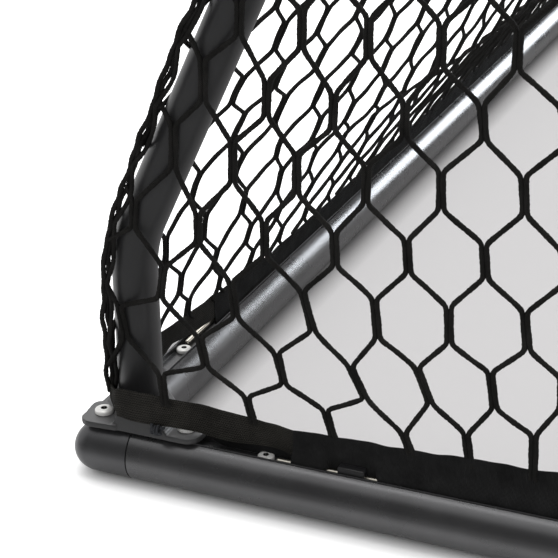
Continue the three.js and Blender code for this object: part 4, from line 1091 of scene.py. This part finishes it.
SIDE_HEM = [(183.5, 1.2, 47.6, 77.6), (194, 0.8, 45.4, 79.0), (226, 0.8, 45.4, 78.6), (255, 0.9, 45.4, 79.6),
            (283, 1.0, 45.4, 80.4), (314, 1.2, 45.4, 82.2), (342, 1.4, 45.4, 83.7), (378, 1.6, 45.4, 84.8),
            (414, 1.8, 45.4, 85.8), (520, 2.2, 45.4, 84.0), (719.5, 2.6, 45.4, 80.0)]
GROOVE_HEM = [(103, 5.2, 51.0, 66.0), (112, 5.2, 45.6, 70.0), (150, 5.0, 45.4, 73.0), (186, 4.4, 45.4, 74.0)]
REAR_HEM_START = 219
FOOT_FRONT, FOOT_BOTTOM, FOOT_TOP = 6.7, 47, 66
CLIP_OPEN, CLIP_SHUT = 20, 24


def ease(value, low, high):
    share = np.clip((np.asarray(value, float) - low) / (high - low), 0, 1)
    return share * share * (3 - 2 * share)


def round_the_rod(start, clips, toward):
    """The foot lies in front of the rod, on the side it is seen from, and stays behind it at each clip."""
    def tuck(run, z):
        at = start + run
        open_here = sum(1 - ease(abs(at - clip), CLIP_OPEN, CLIP_SHUT) for clip in clips)
        return toward * FOOT_FRONT * (1 - ease(z, FOOT_BOTTOM, FOOT_TOP)) * (1 - open_here)
    return tuck


def sewn_band(name, band, material, is_right=False):
    made, run, tall = band
    piece = add_skin(name, made, material, "hem_webbing", is_right, stands_for=["base_hem"])
    print(name, "is", round(run), "x", round(tall), "mm")


corner_tape = tape(CORNER_WEBBING, 11, slack=0.7)
round_side_rod = round_the_rod(SIDE_HEM[0][0], [SIDE_CLIP], -1)
side_tape = tape(SIDE_HEM, 23, slack=1.3, edge=0.7, tuck=round_side_rod)
groove_tape = tape(GROOVE_HEM, 29, slack=0.6)
for side, is_right in SIDES:
    sewn_band("corner_webbing_" + side, corner_tape, ribbed_webbing,
              is_right)
    sewn_band("side_hem_" + side, side_tape, soft_webbing, is_right)
    sewn_band("groove_hem_" + side, groove_tape, soft_webbing, is_right)

# %% [markdown]
# ## How the back of the net hangs
# The back is cut wider than the goal and hangs from the bar between the uprights, so its weight
# pulls it inwards: a hand's breadth in the middle, nothing at the laced sides. The rear hem leans
# with it. So the curve is worked out first, and the hem and the netting both follow it.

# %% The net's route, and its sag
NET_OFFSET = 22.5
NET_FRONT = BASE_DEPTH - GROOVE_FLOOR - 1
SAG_MIDDLE, SAG_FROM, SAG_FULL = 112, 30, 245
TOP_SAG = 16
back_route, back_headings = upright_route(NET_OFFSET, 0, NET_FRONT, 12, 12.0)
route_run = run_along(back_route)
route_end = route_run[-1]
bend_end = route_run[np.flatnonzero(back_route[:, 1] > TOP_HEIGHT + NET_OFFSET - 0.5)[0]]


def back_sag(y, s):
    """How far the net hangs in from its route, at y across the goal and s along the route."""
    corner = np.clip(np.minimum(y, GOAL_WIDTH - y), 0, None)
    across = (1 - (1 - 2 * corner / GOAL_WIDTH) ** 2) * (1 - 0.6 * np.exp(-corner / 130))
    held = (1 - ease(corner, 150, 330)) * (1 - ease(s, 80, 130))
    back = ease(s, SAG_FROM, SAG_FULL) * (1 - ease(s, 620, bend_end - 70)) * (1 - held)
    top = ease(s, bend_end, bend_end + 120) * (1 - ease(s, route_end - 130, route_end - 10))
    return across * (SAG_MIDDLE * back + TOP_SAG * top)


print("route of the net:", round(route_end), "mm; sag at the middle:", round(float(back_sag(940, 400))), "mm")

# %% The hem along the rear bar
REAR_FOOT = 2.6


def with_the_net(run, z):
    return -back_sag(REAR_HEM_START + run, z) - REAR_FOOT * (1 - ease(z, FOOT_BOTTOM, FOOT_TOP))


half = [(1.4, REAR_HEM_START, 46.0, 77.4), (1.6, 300, 45.4, 74.0), (1.8, 400, 45.4, 72.4),
        (2.0, 560, 45.4, 74.0), (2.2, 760, 45.4, 76.0), (2.2, GOAL_WIDTH / 2, 45.4, 76.0)]
stations = half + [(x, GOAL_WIDTH - y, low, high) for x, y, low, high in half[-2::-1]]
rear_tape = tape(stations, 37, slack=1.2, edge=0.8, tuck=with_the_net)
sewn_band("rear_hem", rear_tape, soft_webbing)

# %% [markdown]
# ## Netting
# The net is knotless: every upright strand is two cords side by side, and above and below it the
# two part to left and right. So each cord simply zigzags up the net between two columns. The
# netting is drawn that way: a lattice says where each strand's ends are, the cords thread through
# it, a blur rounds their bends, and what falls outside the panel is cut off.

# %% Cords through a lattice
CORD_RADIUS, CORD_GAP, CORD_SIDES = 2.3, 1.9, 8
CELL_WIDTH, CELL_ROW, STRAND_LENGTH = 62.8, 58.6, 33.0
CORD_STEP, CORD_BLUR = 1.6, 2.7
SHORTEST_CORD = 7


def zigzag(strand, column, rows, side):
    """The cord on one side of a column: it changes to the neighbouring column in odd rows."""
    points = []
    for row in rows:
        odd = row % 2
        across = -side if odd else side
        foot_x, foot_z, head_x, head_z = strand(row, column + 0.5 * side if odd else column)
        points += [(foot_x + across * CORD_GAP, foot_z), (head_x + across * CORD_GAP, head_z)]
    return flowing(points, CORD_STEP, CORD_BLUR)


def inside_runs(line, mask):
    """The stretches of a cord that are inside the panel, one sample longer at each end."""
    edges = np.flatnonzero(np.diff(np.concatenate([[0], mask.astype(int), [0]])))
    for start, stop in zip(edges[::2], edges[1::2]):
        first, last = max(start - 1, 0), min(stop + 1, len(line))
        if (last - first) * CORD_STEP > SHORTEST_CORD:
            yield first, last


def thinned(count, fine, coarse_every):
    """Indices that keep every sample where fine is true and one in a few elsewhere, ends included."""
    due = np.cumsum(np.where(fine, 1.0, 1.0 / coarse_every))
    keep = np.flatnonzero(np.diff(np.floor(due), prepend=-1) > 0)
    return np.unique(np.concatenate([[0], keep, [count - 1]]))


def cord_skin(path, facing, radius, sides=CORD_SIDES, seed=0, plait=0.08):
    """A tube round a 3-D path; facing is a vector, or one per point, that the path never runs along."""
    heading = heading_along(path)
    side = np.cross(heading, np.broadcast_to(facing, path.shape))
    side /= np.linalg.norm(side, axis=1)[:, None]
    up = np.cross(side, heading)
    run = run_along(path)
    angles = np.linspace(0, 2 * math.pi, sides, endpoint=False)
    size = radius * (1 + plait * waves(run, seed, (3.7, 5.9, 17), (0.7, 0.5, 0.6)))
    spin = angles[None] + run[:, None] * 0.02
    rings = path[:, None] + size[:, None, None] * (
        np.cos(spin)[..., None] * side[:, None] + np.sin(spin)[..., None] * up[:, None])
    around = np.linspace(0, 2 * math.pi * radius, sides + 1)
    return skin(rings, run, around)


def inside_polygon(points, polygon):
    x, z = points[:, 0], points[:, 1]
    found = np.zeros(len(points), bool)
    for (ax, az), (bx, bz) in zip(polygon, np.roll(polygon, -1, axis=0)):
        if az != bz:
            found ^= ((az > z) != (bz > z)) & (x < (bx - ax) * (z - az) / (bz - az) + ax)
    return found


# %% [markdown]
# The side panel's lattice follows the photograph. The foot and head of each strand that shows
# clearly were read there. The sight line through each of them is followed to the panel, and
# a gentle curve is laid through every row. Above the view the rows go on evenly.

# %% Strands read in the photograph
PHOTO_WIDTH = 558
SIDE_PLANE = 2.0
LOWEST_FEET = 74.0
STRANDS_IN_PHOTO = [
    {-3: (168, 395, 162, 373), -2: (253, 418, 246, 397), -1: (333, 437, 326, 410), 0: (412, 450, 406, 430),
     1: (470, 460, 466, 432), 2: (535, 470, 533, 436)},
    {-2.5: (203, 368, 200, 338), -1.5: (283, 383, 276, 350), -0.5: (364, 400, 352, 366),
     0.5: (428, 402, 418, 370), 1.5: (495, 405, 491, 372)},
    {-2: (234, 317, 230, 280), -1: (313, 332, 303, 292), 0: (377, 337, 374, 300), 1: (449, 345, 448, 303),
     2: (530, 352, 525, 313)},
    {-3.5: (136, 228, 136, 191), -2.5: (198, 245, 198, 209), -1.5: (267, 257, 264, 222),
     -0.5: (336, 268, 334, 230), 0.5: (407, 272, 408, 238), 1.5: (486, 280, 483, 245)},
    {-3: (176, 169, 176, 126), -2: (228.5, 182, 228.5, 140), -1: (295, 197, 296, 155),
     0: (368, 203, 368, 165), 1: (443, 212, 445, 172), 2: (523, 216, 520, 176)},
    {-2.5: (204, 102, 204, 59), -1.5: (265, 118, 265, 80), -0.5: (331, 132, 333, 95),
     0.5: (407, 137, 407, 98), 1.5: (483, 142, 480, 105)},
    {-2: (239, 35, 239, 0), -1: (301, 51, 301, 10), 0: (370, 60, 371, 18), 1: (440, 65, 442, 20),
     2: (517, 72, 519, 30)},
]


def on_panel(across, down):
    """Where the sight line through a pixel of the photograph meets the side panel, as (x, z)."""
    half, focal = PHOTO_WIDTH / 2, PHOTO_WIDTH * CAMERA_LENS / CAMERA_SENSOR
    sight = camera.rotation_quaternion @ Vector((across - half, half - down, -focal))
    eye = CAMERA_PLACE / MM + Vector((BASE_DEPTH / 2, GOAL_WIDTH / 2, 0))
    found = eye + sight * (SIDE_PLANE - eye.y) / sight.y
    return found.x, found.z


row_curves = []
for strands in STRANDS_IN_PHOTO:
    ends = [(*on_panel(*strand[:2]), *on_panel(*strand[2:])) for strand in strands.values()]
    row_curves.append(np.polyfit(list(strands), ends, 2))
row_curves[0][:, 1] = (0, 0, LOWEST_FEET)
print("rows read in the photograph:", len(row_curves), "with", sum(map(len, STRANDS_IN_PHOTO)), "strands")

# %% [markdown]
# Near the corner the cords come forward to where the webbing wraps the bracket. The strands there,
# and a few that stand off their row's curve, have places and shifts of their own.

# %% The side panel's lattice
MEASURED_FROM, MEASURED_TO = -3.5, 2.0
CORNER_STRANDS = {
    (0, -3): (60.6, 76.0, 58.2, 105.8), (0, -4): (4.0, 76.0, 2.0, 100.0),
    (1, -3.5): (25.0, 134.8, 20.6, 165.2), (1, -2.5): (101.9, 120.5, 96.8, 148.6),
    (2, -3): (60.3, 177.9, 66.1, 209.6), (2, -4): (-2.0, 199.0, -4.0, 215.0),
    (3, -3.5): (38.3, 240.0, 40.3, 265.6), (3, -2.5): (98.7, 235.9, 99.7, 263.1),
}
STRAND_SHIFTS = {
    (0, -1): (0, 0, -1.7, 3.5), (0, 0): (4.0, 0, 1.4, -6.1), (0, 1): (-3.5, 0, -3.5, -0.5),
    (0, 2): (0, 0, 1.5, 1.0), (1, -0.5): (4.4, -1.4, 0, -2.4), (1, 0.5): (0, 0, -3.8, 2.4),
    (1, 1.5): (0.7, -4.3, 0, 0),
    (2, -1): (5.7, -1.2, 0, 0), (2, 0): (-0.9, -0.9, 0, 0), (2, 1): (-2.6, 0.9, 0, 0),
}


def side_strand(row, column, seed=0):
    if (row, column) in CORNER_STRANDS:
        return CORNER_STRANDS[row, column]
    near = min(max(column, MEASURED_FROM), MEASURED_TO)
    if row < 0:
        x = 286 + CELL_WIDTH * column
        return x, 40.0 + row * 10, x, 60.0 + row * 10
    if row < len(row_curves):
        foot_x, foot_z, head_x, head_z = np.polyval(row_curves[row], near)
        foot_x += CELL_WIDTH * (column - near)
        head_x += CELL_WIDTH * (column - near)
    else:
        above = row - len(row_curves) + 1
        pitch = 56.5 + min(above, 8) * 0.75
        foot_x = head_x = 250.0 + pitch * column
        foot_z = 411 + CELL_ROW * above
        head_z = foot_z + STRAND_LENGTH
    chance = np.random.default_rng((seed * 977 + row * 131 + int(2 * column) + 4000) % 2**31)
    shake = 1.6 if row >= len(row_curves) or not -4 < column < 3 or seed else 0.5
    jitter = chance.uniform(-shake, shake, 4)
    if seed == 0 and (row, column) in STRAND_SHIFTS:
        jitter = STRAND_SHIFTS[row, column]
        return foot_x + jitter[0], foot_z + jitter[1], head_x + jitter[2], head_z + jitter[3]
    return foot_x + jitter[0], foot_z + jitter[1], head_x + jitter[0] + jitter[2], head_z + jitter[3]


# %% The side panel's outline, and the bend towards the bracket
SEAM_LOW = [(7.5, 78), (7.2, 90), (6.7, 129), (7.8, 177), (12.7, 216), (19.8, 244.5), (37.4, 287),
            (49.5, 317), (69.2, 361), (85.6, 402.5), (107.5, 443.6)]
SEAM_ON_ROUTE_ABOVE = 455
seam_line = np.concatenate([SEAM_LOW, back_route[back_route[:, 1] > SEAM_ON_ROUTE_ABOVE]])
NET_LOWEST = 75.0
side_outline = np.concatenate([seam_line, [(NET_FRONT + 1, TOP_HEIGHT + NET_OFFSET),
                                           (NET_FRONT + 1, NET_LOWEST), (SEAM_LOW[0][0], NET_LOWEST)]])
WEBBING_Y = -17.6
SIGHT_X, SIGHT_Z = 0.546, 0.612


def on_side(flat, seed):
    """A side panel's (x, z) in space: almost flat, and drawn forward near the wrapped bracket."""
    x, z = flat[:, 0], flat[:, 1]
    run = np.arange(len(flat)) * CORD_STEP
    y = SIDE_PLANE + waves(run, seed, (90, 37), (0.5, 0.3))
    forward = (SIDE_PLANE - WEBBING_Y) * (1 - ease(z, 84, 125)) * (1 - ease(x, 62, 100)) * ease(x, 4, 26)
    return np.column_stack([x + SIGHT_X * forward, y - forward, z + SIGHT_Z * forward])


def side_netting(seed, fine_x, fine_z):
    skins = []
    for column in range(-6, 12):
        for side in (-1, 1):
            line = zigzag(lambda r, u: side_strand(r, u, seed), column, range(-1, 24), side)
            path = on_side(line, seed * 50 + column * 2 + side + 60)
            for first, last in inside_runs(line, inside_polygon(line, side_outline)):
                part = path[first:last]
                keep = thinned(len(part), (part[:, 0] < fine_x) & (part[:, 2] < fine_z), 3)
                if len(keep) > 3:
                    skins.append(cord_skin(part[keep], (0, 1, 0), CORD_RADIUS, seed=column + 40))
    return joined(skins)


near_net = side_netting(0, 540, 560)
far_net = side_netting(5, 0, 0)
add_skin("side_netting_left", near_net, net_cord, "net_cord", stands_for=["side_net_left"], sharp=60)
add_skin("side_netting_right", far_net, net_cord, "net_cord", True, stands_for=["side_net_right"], sharp=60)
print("side netting:", 2 * len(near_net[1]), "and", 2 * len(far_net[1]), "triangles")

# %% [markdown]
# The back and the top are one piece of netting that follows the uprights' route, so its lattice is
# laid on that route: across the goal one way and along the route the other.

# %% Back and top netting
BACK_ROWS = [(82, 17), (120, 21), (166, 28), (227, 36), (287, 32), (338, 29), (388, 30), (439, 30), (492, 31)]
BACK_COLUMN_START, BACK_COLUMNS = 226.4, range(-5, 28)


def back_strand(row, column):
    chance = np.random.default_rng(7000 + row * 131 + int(2 * column))
    jitter = chance.uniform(-1.2, 1.2, 4)
    across = BACK_COLUMN_START + CELL_WIDTH * column
    if row < 0:
        foot, length = BACK_ROWS[0][0] + 36 * row, 15
    elif row < len(BACK_ROWS):
        foot, length = BACK_ROWS[row]
    else:
        foot, length = BACK_ROWS[-1][0] + 57 * (row + 1 - len(BACK_ROWS)), STRAND_LENGTH
    far = np.clip(min(across, GOAL_WIDTH - across), 0, 600) - 250
    foot += far * (0.055 if row > 2 else 0.025)
    return across + jitter[0], foot + jitter[1], across + jitter[0] + jitter[2], foot + length + jitter[3]


def on_route(flat, seed):
    """(across, along) in space: on the route, and hanging inwards from it."""
    y, s = flat[:, 0], flat[:, 1]
    x, z = np.interp(s, route_run, back_route[:, 0]), np.interp(s, route_run, back_route[:, 1])
    hx, hz = np.interp(s, route_run, back_headings[:, 0]), np.interp(s, route_run, back_headings[:, 1])
    length = np.hypot(hx, hz)
    inward = np.column_stack([hz / length, np.zeros(len(s)), -hx / length])
    corner = np.minimum(y, GOAL_WIDTH - y)
    depth = back_sag(y, s) + 5 * (1 - ease(s, 250, 380)) * (1 - ease(corner, 0, 90))
    depth = depth + waves(np.arange(len(s)) * CORD_STEP, seed, (80, 33), (0.5, 0.3))
    back = -11.5 * (1 - ease(z, 84, 125)) * (1 - ease(corner, 66, 104)) * ease(corner, 8, 28)
    return np.column_stack([x + back, y, z]) + inward * depth[:, None], inward


def route_netting(from_run, to_run, every):
    skins = []
    lowest = np.interp(NET_LOWEST, back_route[:20, 1], route_run[:20])
    for column in BACK_COLUMNS:
        for side in (-1, 1):
            line = zigzag(back_strand, column, range(-1, int(route_end / 50)), side)
            y, s = line.T
            mask = (y > 4) & (y < GOAL_WIDTH - 4) & (s > max(from_run, lowest)) & (s < to_run)
            path, inward = on_route(line, 300 + 2 * column + side)
            for first, last in inside_runs(line, mask):
                near = (y[first:last] < 570) & (s[first:last] < 440)
                keep = thinned(last - first, near, every)
                if len(keep) > 3:
                    part, facing = path[first:last][keep], inward[first:last][keep]
                    skins.append(cord_skin(part, facing, CORD_RADIUS - 0.15, 6, column + 90, 0.03))
    return joined(skins)


back_net = route_netting(0, bend_end, 4)
top_net = route_netting(bend_end, route_end, 2)
add_skin("back_netting", back_net, net_cord, "net_cord", stands_for=["back_net"], sharp=70)
add_skin("top_netting", top_net, net_cord, "net_cord", stands_for=["top_net"], sharp=70)
print("back and top netting:", 2 * len(back_net[1]), "and", 2 * len(top_net[1]), "triangles")

# %% [markdown]
# ## Laced seams and edge cords
# Where a side panel meets the back and the top, two cords run along the upright and a third laces
# them: it bows out between the rows and closes at each one. A single rope runs along the edges that
# lie in the posts' and the crossbar's grooves.

# %% Seams
SEAM_PITCH, SEAM_TUCK = 29.3, 14.0


def seam_cords():
    spine = flowing(seam_line, 1.6, 6.0)
    heading = heading_along(spine)
    into = np.column_stack([heading[:, 1], -heading[:, 0]])
    run = run_along(spine)
    bow = np.abs(np.sin(math.pi * run / (2 * SEAM_PITCH) + 0.5))
    lines = [
        (-2.4 + waves(run, 1, (58, 26), (0.7, 0.5)), 1.2 + waves(run, 2, (47, 31), (0.8, 0.5)), 2.3),
        (0.6 + waves(run, 3, (52, 29), (0.8, 0.6)), 3.2 + waves(run, 4, (61, 23), (0.8, 0.4)), 2.2),
        (1.0 + 5.0 * bow + waves(run, 5, (75, 37), (0.7, 0.4)), 0.4 + 1.2 * bow, 2.0),
    ]
    skins = []
    for number, (aside, y, radius) in enumerate(lines):
        flat = spine + into * aside[:, None]
        path = np.column_stack([flat[:, 0], y, flat[:, 1]])
        back = SEAM_TUCK * (1 - ease(path[:, 2], 78, 128))
        path += back[:, None] * np.array([-SIGHT_X, 1, -SIGHT_Z])
        keep = thinned(len(path), path[:, 2] < 560, 3)
        skins.append(cord_skin(path[keep], (0, 1, 0), radius, seed=number + 7))
    return joined(skins)


seams = seam_cords()
for side, is_right in SIDES:
    add_skin("seam_lacing_" + side, seams, net_cord, "net_cord", is_right, sharp=60)
print("seams:", 2 * len(seams[1]), "triangles each")

# %% Edge cords in the front grooves
EDGE_ROPE = 2.6
post_line = np.array([(BASE_DEPTH - GROOVE_FLOOR - 3.2, 2.6, z) for z in np.arange(92, TOP_HEIGHT + 16, 6.0)])
post_line[:, 1] += waves(post_line[:, 2], 61, (140, 57), (0.4, 0.3))
edge = joined([cord_skin(post_line, (0, 1, 0), EDGE_ROPE, seed=3)])
for side, is_right in SIDES:
    add_skin("post_edge_rope_" + side, edge, net_cord, "net_cord", is_right, sharp=60)
along = np.arange(12, GOAL_WIDTH - 11, 6.0)
bar_line = np.column_stack([np.full(len(along), BASE_DEPTH - GROOVE_FLOOR - 3.2), along,
                            CROSSBAR_HEIGHT + 2.6 + waves(along, 62, (170, 61), (0.4, 0.3))])
edge = joined([cord_skin(bar_line, (0, 0, 1), EDGE_ROPE, seed=4)])
add_skin("crossbar_edge_rope", edge, net_cord, "net_cord", sharp=60)
print("edge ropes: 3")

# %% [markdown]
# ## Corner ties
# Beside the raised middle a short cord is wound three times round the webbing's foot and knotted,
# to hold the net's corner to the casting.

# %% Ties
TIE_PLACE, TIE_CORD, TIE_LOOP, TIE_TURNS = (63.4, -22.0, 63.8), 1.15, 3.5, 3.3


def corner_tie():
    turn = np.linspace(0, 2 * math.pi * TIE_TURNS, int(TIE_TURNS * 26))
    x = TIE_PLACE[0] - 4.6 + 2.75 * turn / (2 * math.pi)
    loop = TIE_LOOP * (1 + 0.10 * np.sin(0.5 * turn + 1))
    path = np.column_stack([x + 0.5 * np.sin(turn), TIE_PLACE[1] + 0.85 * loop * np.cos(turn),
                            TIE_PLACE[2] + loop * np.sin(turn) * 1.05])
    tail = np.array([(0, 0, 0), (1.6, 0.9, -0.9), (2.2, 2.4, -1.4), (1.4, 3.9, -1.2)]) + path[-1]
    cross = flowing([(TIE_PLACE[0] - 5.2, -20.5, 67.6), (TIE_PLACE[0] - 2, -25.8, 66.0),
                     (TIE_PLACE[0] + 1.5, -26.2, 61.6), (TIE_PLACE[0] + 4.4, -20.5, 59.6)], 0.8, 1.6)
    wound = np.concatenate([path, flowing(tail, 0.8, 0.8)[1:]])
    return joined([cord_skin(wound, (1, 0.02, 0.01), TIE_CORD, sides=8, seed=5, plait=0.03),
                   cord_skin(cross, (1, 0.5, 0.3), TIE_CORD, sides=8, seed=6, plait=0.03)])


tie = corner_tie()
for side, is_right in SIDES:
    add_skin("corner_winding_" + side, tie, tie_cord, "tie_cord", is_right,
             stands_for=["corner_tie_" + side], sharp=60)
print("ties:", 2 * len(tie[1]), "triangles each")
